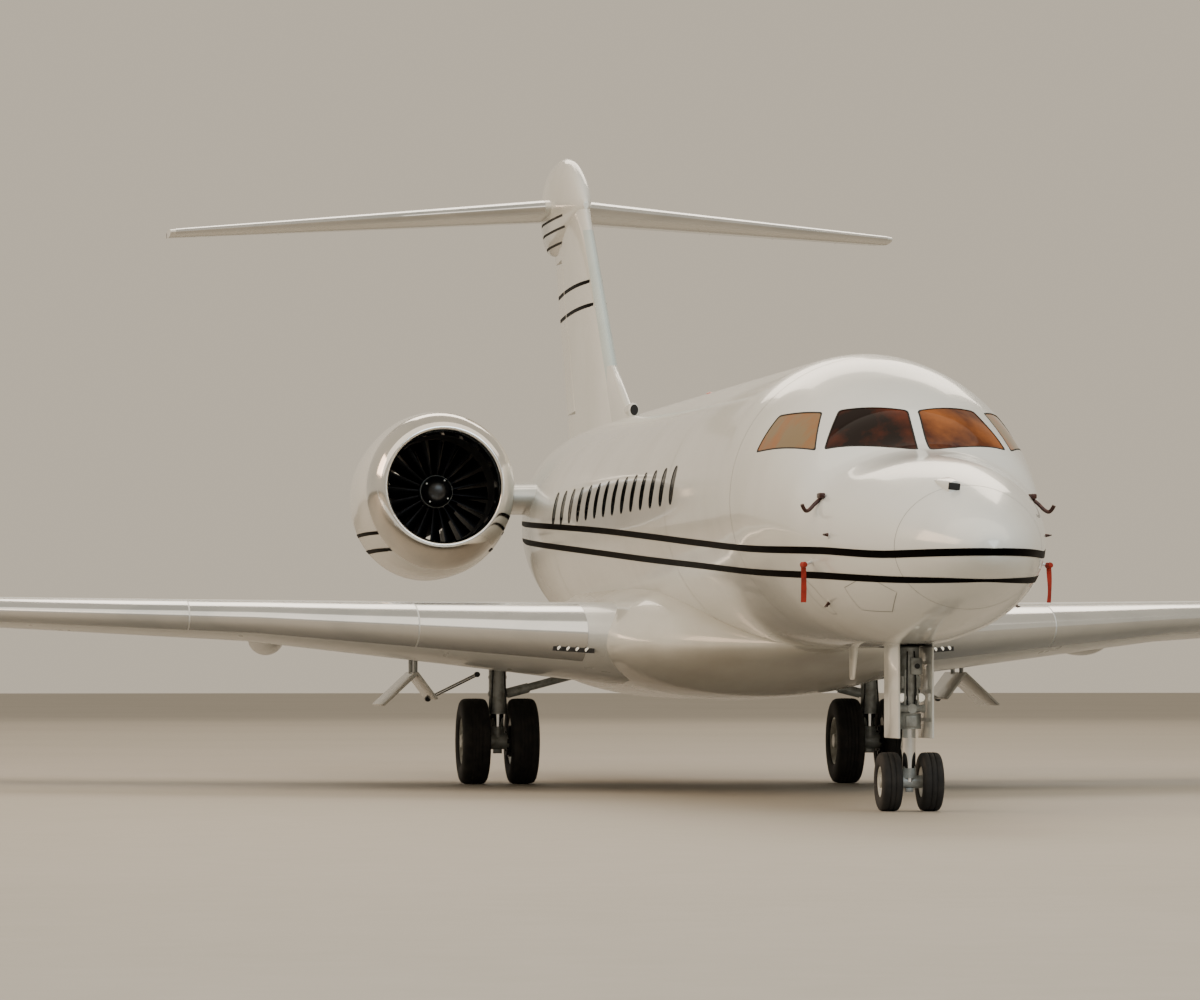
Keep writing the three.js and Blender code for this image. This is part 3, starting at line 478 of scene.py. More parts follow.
# A wall between two stations: out along the skin, back along the lining, and round again
def shellBetween(start, end, outer=0.0, inner=-fuselage["wall"], step=0.12):
    stations = spread(start, end, max(2, round((end - start) / step)))
    skin = [eggRing(skinCurve, s, outer, fuselage["around"]) for s in stations]
    lining = [eggRing(skinCurve, s, inner, fuselage["around"]) for s in reversed(stations)]
    strips = [0] * (len(skin) - 1) + [1] * (len(lining) + 1)
    bm = bmesh.new()
    skinOver(bm, skin + lining + skin[:1], caps=False, strips=strips)
    return bm


def rounded(bm, radius, segments):
    bmesh.ops.bevel(bm, geom=list(bm.verts), offset=radius, offset_type="OFFSET", segments=segments,
                    profile=0.5, affect="VERTICES", clamp_overlap=True, material=-1)


# Cockpit panes: corners as x outward, station, z, and each side's glass
panes = {
    "windscreen": {
        "left": "redGlass", "right": "cockpitGlass",
        "corners": [(0.055, 2.9, 3.145), (0.81, 3.33, 3.15), (0.6, 3.75, 3.51), (0.04, 3.44, 3.51)]},
    "side_window": {
        "left": "amberGlass", "right": "amberGlass",
        "corners": [(0.86, 3.4, 3.14), (1.19, 4.56, 3.16), (0.98, 4.55, 3.5), (0.71, 3.88, 3.5)]},
}
# the corners' radius, the seal's width, and for glass and seal the outer and inner face from the skin
paneDetail = {"radius": 0.035, "seal": 0.014, "depth": 0.26, "glass": (-0.003, -0.02),
              "rubber": (0.0015, -0.03), "run": (2.6, 4.9)}


# A closed prism through a pane's outline, with its corners rounded
def paneCutter(pane, side, shrink=0.0, deeper=0.0, material=0):
    bm = bmesh.new()
    corners = [place(side * x, s, z) for x, s, z in pane["corners"]]
    normal = (corners[2] - corners[0]).cross(corners[3] - corners[1]).normalized()
    depth = paneDetail["depth"] + deeper
    verts = []
    for i, corner in enumerate(corners):
        before, after = corners[i - 1] - corner, corners[(i + 1) % len(corners)] - corner
        inward = (before.normalized() + after.normalized()).normalized()
        verts.append(bm.verts.new(corner + inward * shrink / sin(before.angle(after) / 2) - normal * depth))
    bm.faces.new(verts)
    rounded(bm, paneDetail["radius"], 5)
    drawOut(bm, normal * depth * 2, material)
    return meshOf(bm)


# Cabin windows: ovals at one pitch along both sides. The cutter takes those between two stations
cabinWindows = {"first": 8.66, "pitch": 0.655, "count": 14, "level": 3.01, "width": 0.27, "height": 0.38,
                "glass": (-0.003, -0.011), "rubber": (0.001, -0.03), "run": (8.4, 17.5), "seal": 0.016,
                "power": 2 / 2.6, "near": 0.9, "far": 1.6}


def windowCutter(start=8.0, end=18.0, grow=0.0):
    w = cabinWindows
    wide, tall = (w["width"] + grow) / 2, (w["height"] + grow) / 2
    stations = [w["first"] + i * w["pitch"] for i in range(w["count"])]
    whole = bmesh.new()
    for station in [s for s in stations if start < s < end]:
        for side in sides.values():
            bm = bmesh.new()
            for point in bmesh.ops.create_circle(bm, cap_ends=True, segments=28, radius=1)["verts"]:
                across, up = (copysign(abs(part) ** w["power"], part) for part in point.co.xy.normalized())
                point.co = place(side * w["near"], station + across * wide, w["level"] + up * tall)
            drawOut(bm, (side * (w["far"] - w["near"]), 0, 0), 1)
            oval = meshOf(bm)
            whole.from_mesh(oval)
            bpy.data.meshes.remove(oval)
    return meshOf(whole)


# Entry door: the CAD's own outline, port side
door = {"from": 5.48, "to": 6.39, "bottom": 1.98, "top": 3.76, "slope": 0.25, "gap": 0.006, "radius": 0.07,
        "near": 0.6, "middle": 0.766, "far": 1.6}


def doorCutter(shrink):
    bm = bmesh.new()
    top = door["top"] + door["slope"] * (door["near"] - door["middle"])
    for point in bmesh.ops.create_grid(bm, x_segments=1, y_segments=1, size=1)["verts"]:
        station = door["from"] + shrink if point.co.x < 0 else door["to"] - shrink
        point.co = place(door["near"], station, door["bottom"] + shrink if point.co.y < 0 else top - shrink)
    rounded(bm, door["radius"], 6)
    reach = door["far"] - door["near"]
    for point in drawOut(bm, (reach, 0, 0), 2):
        if point.co.z > 3:
            point.co.z += door["slope"] * reach
    return meshOf(bm)


def finishShell(made, curve=skinCurve):
    smoothed(made.data, 35)
    cleanNormals(made.data, curve)


# One section of the fuselage, carved by its openings
def addShell(name, node, start, end, cutters=(), operation="DIFFERENCE", body="airframe",
             lining="cabinLiner", **shape):
    made = addPiece(name, shellBetween(start, end, **shape), ["whitePaint", lining, "sealRubber"],
                    body=body, replaces=[node], slot="white_paint")
    for cutter in cutters:
        carve(made, cutter, operation)
    finishShell(made)


# A thin layer of the skin inside an outline, with or without a hole
def addLayer(name, start, end, outer, inner, step, finish, outline, hole=None, **more):
    piece = addPiece(name, shellBetween(start, end, outer, inner, step), [finish] * 3, **more)
    carve(piece, outline, "INTERSECT")
    if hole:
        carve(piece, hole)
    smoothed(piece.data, 35)


bm = bmesh.new()
skinOver(bm, [eggRing(skinCurve, 1.049 * (i / 30) ** 2, 0, fuselage["around"]) for i in range(31)])
finishShell(addPiece("radome_shell", bm, ["whitePaint"], replaces=["radome"], slot="radome_skin"))
addShell("cockpit_shell", "cockpit_section", 1.051, 5.199,
         [paneCutter(pane, side, material=2) for side in (1, -1) for pane in panes.values()], step=0.07)
seal = paneDetail["seal"]
for label, side in sides.items():
    for name, pane in panes.items():
        addLayer(f"{name}_glass_{label}", *paneDetail["run"], *paneDetail["glass"], 0.06, pane[label],
                 paneCutter(pane, side, seal), replaces=[f"{name}_{label}"], slot="cockpit_glass")
        addLayer(f"{name}_seal_{label}", *paneDetail["run"], *paneDetail["rubber"], 0.06, "sealRubber",
                 paneCutter(pane, side, 0.001), paneCutter(pane, side, seal, 0.05))
print("cockpit glazed")

addShell("forward_shell", "forward_fuselage", 5.201, 8.999, [doorCutter(0), windowCutter(end=9.0)])
addShell("entry_door_panel", "entry_door", 5.3, 6.6, [doorCutter(door["gap"])], "INTERSECT", "entry_door")
addShell("centre_shell", "centre_fuselage", 9.001, 17.199, [windowCutter(9.0)], step=0.2)
addShell("aft_shell", "aft_fuselage", 17.201, 21.199, [windowCutter(17.0)])
addShell("tail_cone_shell", "tail_cone", 21.201, 27.0, inner=-0.02, lining="darkSteel")
addLayer("cabin_window_glass", *cabinWindows["run"], *cabinWindows["glass"], 0.3, "cabinGlass",
         windowCutter())
addLayer("cabin_window_frames", *cabinWindows["run"], *cabinWindows["rubber"], 0.3, "sealRubber",
         windowCutter(grow=-0.001), windowCutter(grow=-cabinWindows["seal"]))
print("fuselage skinned")


# The angle on a body of rings at one level, starboard or port by the side
def levelAngle(curve, station, z, side=1, limit=1.0):
    _, middle, height = girth(curve, station, z)
    angle = asin(max(-limit, min(limit, (z - middle) / height)))
    return angle if side > 0 else pi - angle


def laidAt(curve, station, angle, lift=0.0):
    point = eggPoint(curve, station, angle, lift)
    return point, eggNormal(curve, point)


# A flat ribbon through points with their outward directions
def addBand(name, laid, width, material, body="airframe", lift=0.002):
    bm = bmesh.new()
    rows = []
    for i, (point, normal) in enumerate(laid):
        before, after = laid[max(0, i - 1)][0], laid[min(len(laid) - 1, i + 1)][0]
        half = (width(i) if callable(width) else width) / 2
        across = (after - before).normalized().cross(normal).normalized() * half
        raised = point + normal * lift
        rows.append([raised - across, raised, raised + across])
    skinOver(bm, rows, closed=False)
    bmesh.ops.recalc_face_normals(bm, faces=bm.faces)
    bm.normal_update()
    largest = max(bm.faces, key=lambda face: face.calc_area())
    nearest = min(laid, key=lambda pair: (pair[0] - largest.calc_center_median()).length)
    if largest.normal.dot(nearest[1]) < 0:
        bmesh.ops.reverse_faces(bm, faces=bm.faces)
    addPiece(name, bm, [material], close=False, body=body, angle=35)


# Cheat lines: station and level of each stripe's middle, from the nose round both sides
stripes = {
    "upper": {"width": 0.064, "end": 24.6,
              "levels": [(0, 2.2), (1.0, 2.2), (2.6, 2.26), (4.4, 2.31), (7.1, 2.42), (10.1, 2.55),
                         (13.5, 2.69), (16.6, 2.8), (20.5, 2.93), (25.5, 3.1)]},
    "lower": {"width": 0.066, "end": 23.8,
              "levels": [(0, 1.965), (1.0, 1.985), (2.8, 2.05), (4.75, 2.11), (7.6, 2.22), (10.5, 2.33),
                         (13.7, 2.46), (16.7, 2.58), (20.5, 2.73), (25.5, 2.93)]},
}


# The station where a stripe crosses the nose's lower middle line
def crossing(level):
    near, far = 0.0, 1.0
    for _ in range(40):
        middle = (near + far) / 2
        near, far = (middle, far) if skinCurve(middle, 4) > level(middle, 1) else (near, middle)
    return far


for stripeName, stripe in stripes.items():
    level = tableCurve(stripe["levels"])
    start = crossing(level)
    stations = [start + (stripe["end"] - start) * (i / 180) ** 2.6 for i in range(181)]
    path = [(s, levelAngle(skinCurve, s, level(s, 1))) for s in stations]
    both = [laidAt(skinCurve, s, a, 0.0022) for s, a in [(s, pi - a) for s, a in path[::-1]] + path[1:]]

    # narrow at both ends
    def taper(i, last=len(both) - 1, width=stripe["width"]):
        return width * min(1, 0.04 + min(i, last - i) / 12)

    addBand(f"cheat_line_{stripeName}", both, taper, "stripePaint", lift=0)
print("stripes laid")

# Lifting surfaces: span, leading edge station, chord, height, thickness ratio, twist, cant, and rear,
# the chord fraction where the fixed box ends
wingEdge = {"station": 10.1, "sweep": 0.7646}


def wingLeading(x):
    return wingEdge["station"] + wingEdge["sweep"] * x


wing = [
    (0.9, wingLeading(0.9), 6.662, 1.5, 0.13, 2, 0, 0.88),
    (4.9, wingLeading(4.9), 3.603, 1.765, 0.12, 1, 0, 0.785),
    (9.3, wingLeading(9.3), 2.476, 1.935, 0.106, 0, 0, 0.765),
    (13.0, wingLeading(13.0), 1.531, 2.03, 0.1, -0.5, 0, 0.76),
]
winglet = [
    (13.0, wingLeading(13.0), 1.531, 2.03, 0.1, -0.5, 0, 0.76),
    (13.55, wingLeading(13.55), 1.38, 2.07, 0.1, 0, 12, 0.76),
    (13.96, 21.0, 1.15, 2.25, 0.095, 0, 50, 0.76),
    (14.15, 21.5, 0.9, 2.68, 0.09, 0, 70, 0.76),
    (14.28, 22.3, 0.52, 3.41, 0.085, 0, 76, 0.76),
]
fin = [(4.05, 20.953, 4.702, 0, 0.066, 0, 0, 0.7), (6.85, 24.127, 3.084, 0, 0.072, 0, 0, 0.68)]
dorsal = [(4.05, 19.9, 3.2, 0, 0.06, 0, 0, 0.7), (4.85, 21.75, 1.9, 0, 0.08, 0, 0, 0.7)]
stabiliser = [(0.04, 25.875, 2.889, 7.078, 0.088, 0, 0, 0.67), (4.77, 29.09, 1.21, 6.937, 0.083, 0, 0, 0.67)]
pylon = [(0.7, 19.5, 4.0, 3.23, 0.095, 0, 0, 0.75), (2.0, 19.9, 3.3, 3.23, 0.1, 0, 0, 0.75)]
rowNames = ("span", "leading", "chord", "height", "ratio", "twist", "cant", "rear")
aileron = {"from": 9.7, "to": 12.6, "gap": 0.026}
flap = {"from": 1.95, "to": 9.688}
rudder = {"from": 4.43, "to": 6.33, "footGap": 0.04, "gap": 0.06}
elevator = {"from": 0.52, "to": 4.63, "gap": 0.026}
edgeGap = 0.01


def halfThickness(u, chord, ratio):
    shape = 0.2969 * sqrt(u) - 0.126 * u - 0.3516 * u**2 + 0.2843 * u**3 - 0.1036 * u**4
    return max(0.004, 5 * ratio * chord * shape)


def sectionAt(rows, span):
    i = max(0, min(sum(row[0] <= span for row in rows) - 1, len(rows) - 2))
    t = (span - rows[i][0]) / (rows[i + 1][0] - rows[i][0])
    section = {name: a + t * (b - a) for name, a, b in zip(rowNames, rows[i], rows[i + 1])}
    box = halfThickness(section["rear"], section["chord"], section["ratio"])
    section["hinge"] = section["rear"] + (box + edgeGap) / section["chord"]
    return section


# A point of a section: chord fraction, 1 for its upper (or port) face and -1 for the other
def sectionPoint(section, u, face, side=1, lift=0.0, upright=False):
    half = halfThickness(u, section["chord"], section["ratio"]) + lift
    along = u * section["chord"]
    y = noseY + section["leading"] + along
    if upright:
        return Vector((face * half, y, section["span"]))
    cant = radians(section["cant"])
    rise = -(along - section["chord"] / 4) * sin(radians(section["twist"]))
    across = side * (section["span"] - face * half * sin(cant))
    return Vector((across, y, section["height"] + rise + face * half * cos(cant)))


def chordSteps(start, end, count=16):
    # crowded towards the start when that is the leading edge
    power = 2.0 if start == 0 else 1.0
    return [start + (end - start) * (i / count) ** power for i in range(count + 1)]


# Rings of a closed surface between two chord fractions. One that starts at the hinge gets a round nose
def surfaceRings(rows, spans, start, end, side=1, lift=0.0, upright=False):
    rings = []
    for span in spans:
        section = sectionAt(rows, span)
        first, last = section.get(start, start), section.get(end, end)
        line = []
        for face in (1, -1):
            points = [sectionPoint(section, u, face, side, lift, upright) for u in chordSteps(first, last)]
            if start == "hinge":
                radius = halfThickness(first, section["chord"], section["ratio"])
                ends = [sectionPoint(section, first, way, side, 0, upright) for way in (1, -1)]
                hub = (ends[0] + ends[1]) / 2
                out = (points[0] - hub).normalized() * radius
                points = [hub + out * cos(radians(a)) - Vector((0, radius * sin(radians(a)), 0))
                          for a in (84, 63, 42, 21)] + points
            line.append(points)
        rings.append(line[0] + line[1][::-1])
    return rings


def spansBetween(rows, start, end, step=0.5):
    breaks = [start] + [row[0] for row in rows if start < row[0] < end] + [end]
    spans = []
    for a, b in zip(breaks, breaks[1:]):
        spans += spread(a, b, max(1, round((b - a) / step)))[:-1]
    return spans + [end]


# One piece of closed skins in place of the solid with its name
def addSurfaces(part, ending, skins, material="whitePaint", body="airframe", slot="white_paint", fairings=(),
                cutters=()):
    bm = bmesh.new()
    for rings in skins:
        skinOver(bm, rings)
    for centre, size in fairings:
        ball(bm, centre, size, 24, 18)
    made = addPiece(f"{part}_skin{ending}", bm, [material], body=body, replaces=[part + ending], slot=slot)
    for cutter in cutters:
        carve(made, cutter)
    smoothed(made.data, 40)


# A thin skin wrapped round a leading edge, as a bare metal or painted strip
edgeLift = 0.003


def addEdgeStrip(name, rows, spans, upper, lower, side=1, upright=False, material="polishedSkin"):
    bm = bmesh.new()
    rings = []
    for span in spans:
        section = sectionAt(rows, span)
        top, under = ([sectionPoint(section, reach * (i / 10) ** 2, face, side, edgeLift, upright)
                       for i in range(11)] for reach, face in ((upper, 1), (lower, -1)))
        for point in (top[0], under[0]):
            point.y -= edgeLift
        rings.append(top[::-1] + under)
    skinOver(bm, rings, closed=False)
    bmesh.ops.recalc_face_normals(bm, faces=bm.faces)
    bm.normal_update()
    if sum(face.normal.y * face.calc_area() for face in bm.faces) > 0:
        bmesh.ops.reverse_faces(bm, faces=bm.faces)
    bm.normal_update()
    bmesh.ops.solidify(bm, geom=list(bm.faces), thickness=edgeLift + 0.001)
    addPiece(name, bm, [material])


# Flap tracks' fairings under the wing: distance out, length, half width
tracks = [(4.54, 2.5, 0.17), (7.6, 2.0, 0.15)]
trackFit = {"along": 0.86, "sunk": 0.35, "drop": 0.09, "deeper": 0.02}


def trackFairing(side, x, length, half):
    section = sectionAt(wing, x)
    thick = halfThickness(0.6, section["chord"], section["ratio"])
    centre = place(side * x, section["leading"] + trackFit["along"] * section["chord"],
                   section["height"] - trackFit["sunk"] * thick - trackFit["drop"])
    return centre, (half, length / 2, half + trackFit["deeper"])


# Slats: spans along the leading edge
slats = [(1.75, 3.314), (3.33, 5.544), (5.56, 9.194), (9.21, 12.894)]
wingLook = {"material": "wingPaint", "slot": "wing_skin"}
# a fixed rear part is drawn this much thinner than the box that it runs into
inset = {"lift": -0.001}

for label, side in sides.items():
    ending = f"_{label}"
    skins = [
        surfaceRings(wing, spansBetween(wing, 1.2, 13.0), 0, "rear", side),
        surfaceRings(wing, [1.2, flap["from"] - 0.001], 0.6, 1, side, **inset),
        surfaceRings(wing, [aileron["to"] + aileron["gap"], 13.0], 0.6, 1, side, **inset),
    ]
    fairings = [trackFairing(side, *track) for track in tracks]
    addSurfaces("wing", ending, skins, fairings=fairings, **wingLook)
    spans = spansBetween(wing, flap["from"], flap["to"])
    addSurfaces("flap", ending, [surfaceRings(wing, spans, "rear", 1, side)], **wingLook)
    spans = spansBetween(wing, aileron["from"], aileron["to"])
    addSurfaces("aileron", ending, [surfaceRings(wing, spans, "hinge", 1, side)], body=f"aileron{ending}",
                **wingLook)
    spans = spansBetween(winglet, 13.0005, 14.28, 0.1)
    addSurfaces("winglet", ending, [surfaceRings(winglet, spans, 0, 1, side)])
    for number, (start, end) in enumerate(slats, 1):
        addEdgeStrip(f"slat_{number}{ending}", wing, spansBetween(wing, start, end), 0.13, 0.07, side)
print("wings made")

# Tail
bullet = [
    (24.18, 0.03, 7.0, 6.95, 6.9), (24.45, 0.1, 7.21, 7.01, 6.76), (24.9, 0.15, 7.43, 7.06, 6.64),
    (25.45, 0.18, 7.6, 7.08, 6.57), (26.1, 0.192, 7.676, 7.09, 6.52), (26.8, 0.188, 7.65, 7.09, 6.5),
    (27.5, 0.125, 7.49, 7.1, 6.56), (28.05, 0.06, 7.3, 7.12, 6.78), (28.35, 0.02, 7.18, 7.13, 7.08),
]
bulletCurve = tableCurve(bullet)

upright = {"upright": True}
finSkins = [
    surfaceRings(fin, [3.8, 4.6, 5.4, 6.2, 6.9], 0, "rear", **upright),
    surfaceRings(dorsal, [3.9, 4.2, 4.5, 4.85], 0, 1, **upright),
    surfaceRings(fin, [3.8, rudder["from"] - rudder["footGap"]], 0.6, 1, **inset, **upright),
    surfaceRings(fin, [rudder["to"] + rudder["gap"], 6.9], 0.6, 1, **inset, **upright),
]
addSurfaces("fin", "", finSkins)
spans = spread(rudder["from"], rudder["to"], 6)
addSurfaces("rudder", "", [surfaceRings(fin, spans, "hinge", 1, **upright)], body="rudder")
bm = bmesh.new()
skinOver(bm, [eggRing(bulletCurve, s, 0, 48) for s in spread(24.18, 28.35, 50)])
addPiece("bullet_skin", bm, ["whitePaint"], replaces=["tail_bullet"], slot="white_paint", angle=60)
addEdgeStrip("fin_leading_edge", fin, spread(4.55, 6.62, 9), 0.042, 0.042, material="edgePaintSkyReflection", **upright)

for label, side in sides.items():
    ending = f"_{label}"
    skins = [
        surfaceRings(stabiliser, spread(0.06, 4.77, 10), 0, "rear", side),
        surfaceRings(stabiliser, [0.06, elevator["from"] - elevator["gap"]], 0.6, 1, side, **inset),
        surfaceRings(stabiliser, [elevator["to"] + elevator["gap"], 4.77], 0.6, 1, side, **inset),
    ]
    addSurfaces("stabiliser", ending, skins)
    spans = spread(elevator["from"], elevator["to"], 8)
    addSurfaces("elevator", ending, [surfaceRings(stabiliser, spans, "hinge", 1, side)],
                body=f"elevator{ending}")
    addEdgeStrip(f"stabiliser_edge{ending}", stabiliser, spread(0.26, 4.7, 10), 0.09, 0.06, side)
print("tail made")

# Engines: the axis at the lip and its nose-up pitch. Profiles are distance behind the lip and radius
engine = {"x": 2.34, "station": 18.98, "level": 3.32, "pitch": radians(2.5)}
cowl = [(0, 0.655), (0.025, 0.715), (0.12, 0.79), (0.45, 0.875), (1.1, 0.925), (2.0, 0.905), (3.2, 0.765),
        (4.5, 0.545)]
duct = [(0.16, 0.62), (0.3, 0.62), (1.13, 0.622), (1.45, 0.8), (2.0, 0.828), (3.2, 0.69), (4.5, 0.513)]
lip = {"front": 0.668, "outer": 0.45, "inner": 0.16, "metalInside": 0.3, "power": 1.75}
chin = {"full": 0.45, "narrow": 0.965, "deep": 1.055}
fan = {"radius": 0.606, "hub": 0.19, "blades": 20}
engineLength = cowl[-1][0]
cowlCurve, ductCurve = tableCurve(cowl), tableCurve(duct)


def engineMatrix(side):
    return (Matrix.Translation((side * engine["x"], noseY + engine["station"], engine["level"]))
            @ Matrix.Rotation(-engine["pitch"], 4, "X"))


# A point beside the engine's axis, turned about it
def engineSpot(side, turn, radius, along, across):
    return engineMatrix(side) @ (Matrix.Rotation(turn, 4, "Y") @ Vector((radius, along, across)))


def cowlRadius(along):
    if along >= lip["outer"]:
        return cowlCurve(along, 1)
    rise = cowlCurve(lip["outer"], 1) - lip["front"]
    return lip["front"] + rise * (1 - (1 - along / lip["outer"]) ** lip["power"]) ** (1 / lip["power"])


def ductRadius(along):
    if along >= lip["inner"]:
        return ductCurve(along, 1)
    return lip["front"] - (lip["front"] - duct[0][1]) * sqrt(1 - (1 - along / lip["inner"]) ** 2)


# A point on the cowl, which is narrower than round and deeper below
def cowlPoint(along, angle, side, grow=0.0):
    share = min(1, max(0, along / chin["full"]))
    radius = cowlRadius(along) + grow
    x = radius * cos(angle) * (1 + (chin["narrow"] - 1) * share)
    z = radius * sin(angle) * (1 + (chin["deep"] - 1) * share if sin(angle) < 0 else 1)
    return engineMatrix(side) @ Vector((x, along, z))


def cowlRing(along, side, grow=0.0, count=112):
    return [cowlPoint(along, turn, side, grow) for turn in turns(count)]


def ductRing(along, side, count=112):
    radius = ductRadius(along)
    return [engineMatrix(side) @ Vector((radius * cos(a), along, radius * sin(a))) for a in turns(count)]


def addCowl(label, side):
    outside = [lip["outer"] * (i / 12) ** 2 for i in range(13)] + spread(lip["outer"], engineLength, 30)[1:]
    inside = [lip["inner"] * (i / 7) ** 2 for i in range(1, 8)] + spread(lip["inner"], engineLength, 34)[1:]
    rings = [cowlRing(a, side) for a in outside] + [ductRing(a, side) for a in reversed(inside)]
    strips = [1 if a < lip["outer"] else 0 for a in outside[:-1]]
    strips += [2] + [1 if a < lip["metalInside"] else 2 for a in reversed(inside[:-1])] + [1]
    bm = bmesh.new()
    skinOver(bm, rings + rings[:1], caps=False, strips=strips)
    addPiece(f"cowl_{label}", bm, ["whitePaint", "polishedLip", "ductLinerPaintedShade"], replaces=[f"nacelle_{label}"],
             slot="cowl", angle=50)


# Fan blades: thin lens sections that twist from root to tip, with start and change of each measure
blade = {"root": 0.175, "chord": (0.115, 0.05), "stagger": (28, 32), "half": (0.011, -0.007), "bow": 0.012,
         "middle": 0.98}


def addBlade(bm, turn, side):
    rings = []
    for share in spread(0, 1, 6):
        radius = blade["root"] + (fan["radius"] - blade["root"]) * share
        chord, stagger, half = (start + share * change for start, change in
                                (blade["chord"], blade["stagger"], blade["half"]))
        lean, ring = radians(stagger), []
        for a in turns(12):
            across, thick = cos(a) * chord / 2, sin(a) * half + blade["bow"] * sin(a) ** 2
            along = across * cos(lean) - thick * sin(lean) + blade["middle"]
            ring.append(engineSpot(side, turn, radius, along, across * sin(lean) + thick * cos(lean)))
        rings.append(ring)
    skinOver(bm, rings)


def turnedAlong(bm, profile, side, steps=48):
    before = set(bm.verts)
    turned(bm, profile, (0, 0, 0), "Y", steps)
    bmesh.ops.transform(bm, matrix=engineMatrix(side), verts=[v for v in bm.verts if v not in before])


# The spinner's length, back and the marks on its nose
spinner = {"base": 0.9, "length": 0.215, "power": 0.85, "back": 1.058, "marks": 4,
           "markAt": (0.148, 0.752, 0), "markTurn": 35, "markSize": 0.012, "ring": 11}


def addFan(label, side):
    more = {"body": f"fan_{label}", "angle": 35}
    bm = bmesh.new()
    for turn in turns(fan["blades"]):
        addBlade(bm, turn, side)
    addPiece(f"fan_blades_{label}", bm, ["fanMetal"], replaces=[f"fan_{label}"], slot="fan_metal", **more)
    bm = bmesh.new()
    nose = [(spinner["base"] - spinner["length"] * cos(a), fan["hub"] * sin(a) ** spinner["power"])
            for a in spread(0, pi / 2, 14)]
    turnedAlong(bm, [*nose, (spinner["back"], fan["hub"]), (spinner["back"], 0.0)], side)
    addPiece(f"spinner_{label}", bm, ["spinnerPaint"], **more)
    bm = bmesh.new()
    along, radius = nose[spinner["ring"]]
    turnedAlong(bm, [(along - 0.004, radius + 0.001), (along + 0.006, radius + 0.006)], side)
    for turn in turns(spinner["marks"]):
        spot = engineSpot(side, turn + radians(spinner["markTurn"]), *spinner["markAt"])
        ball(bm, spot, [spinner["markSize"]] * 3, 12, 8)
    addPiece(f"spinner_marks_{label}", bm, ["wheelEnamel"], **more)


# Behind the fan: core, struts and vanes. Outlines are distance behind the lip and half thickness or radius
core = [(1.062, 0.2), (1.5, 0.33), (2.6, 0.4), (3.7, 0.38), (4.5, 0.25), (5.0, 0.0)]
coreVanes = [
    {"count": 6, "from": 0.22, "to": 0.815,
     "outline": [(1.525, 0.0), (1.6, 0.02), (1.75, 0.024), (1.9, 0.015), (1.975, 0.0), (1.9, -0.015),
                 (1.75, -0.024), (1.6, -0.02)]},
    {"count": 32, "from": 0.22, "to": 0.62,
     "outline": [(1.2, 0.0), (1.27, 0.012), (1.34, 0.018), (1.34, 0.013), (1.27, 0.004)]},
]


def addCore(label, side):
    bm = bmesh.new()
    smooth = tableCurve(core)
    start, end = core[0][0], core[-1][0]
    turnedAlong(bm, [(start, 0.0)] + [(a, smooth(a, 1)) for a in spread(start, end, 40)], side)
    for vane in coreVanes:
        for turn in turns(vane["count"]):
            skinOver(bm, [[engineSpot(side, turn, radius, a, t) for a, t in vane["outline"]]
                          for radius in (vane["from"], vane["to"])])
    addPiece(f"engine_core_{label}", bm, ["heatedMetal"], replaces=[f"engine_{label}"], slot="engine_metal",
             angle=45)


# Closed solids just inside the skins, to cut away what is hidden behind them
def solidOf(rings):
    bm = bmesh.new()
    skinOver(bm, rings)
    return meshOf(bm)


def skinSolid(start, end, grow):
    return solidOf([eggRing(skinCurve, s, grow, 60) for s in spread(start, end, 30)])


# Stripes on the cowls at two levels, from behind the lip: level and width
cowlStripes = {"upper": (2.8, 0.045), "lower": (2.61, 0.055)}
cowlStripeRun = {"gap": 0.012, "end": 3.9, "steepest": -0.985}


def addCowlStripe(name, level, width, side, sign):
    laid = []
    for along in spread(lip["outer"] + cowlStripeRun["gap"], cowlStripeRun["end"], 40):
        drop = (level - engine["level"] + along * sin(engine["pitch"])) / cos(engine["pitch"])
        sine = drop / (cowlRadius(along) * chin["deep"])
        if sine < cowlStripeRun["steepest"]:
            break
        angle = asin(sine) if sign > 0 else pi - asin(sine)
        point = cowlPoint(along, angle, side)
        laid.append((point, (cowlPoint(along, angle, side, 0.1) - point).normalized()))
    addBand(name, laid, width, "stripePaint")


for label, side in sides.items():
    addCowl(label, side)
    addFan(label, side)
    addCore(label, side)
    cowlInside = solidOf([cowlRing(a, side, -0.02, 56) for a in spread(0, engineLength, 30)])
    addSurfaces("pylon", f"_{label}", [surfaceRings(pylon, [0.72, 1.2, 1.7], 0, 1, side)], slot="wing_skin",
                cutters=[skinSolid(18.5, 26.0, -0.02), cowlInside])
    for name, (level, width) in cowlStripes.items():
        for flank, sign in (("outer", side), ("inner", -side)):
            addCowlStripe(f"cowl_stripe_{name}_{flank}_{label}", level, width, side, sign)
print("engines made")

# Belly fairing: the fuselage's columns
belly = [
    (7.8, 0.3, 1.56, 1.48, 1.4), (8.7, 0.9, 1.82, 1.48, 1.29), (9.9, 1.38, 2.08, 1.5, 1.11),
    (11.2, 1.57, 2.25, 1.52, 0.97), (13.0, 1.62, 2.3, 1.53, 0.93), (16.5, 1.6, 2.3, 1.53, 0.93),
    (18.0, 1.38, 2.15, 1.54, 1.06), (19.4, 0.88, 1.9, 1.56, 1.3), (20.3, 0.3, 1.7, 1.6, 1.5),
]
bellyCurve = tableCurve(belly)
bm = bmesh.new()
skinOver(bm, [eggRing(bellyCurve, s, 0, 96) for s in spread(belly[0][0], belly[-1][0], 80)])
fairing = addPiece("belly_skin", bm, ["bellyPaint"], replaces=["belly_fairing"], slot="white_paint",
                   angle=60)
carve(fairing, skinSolid(7.0, 21.0, -0.015))
finishShell(fairing, bellyCurve)

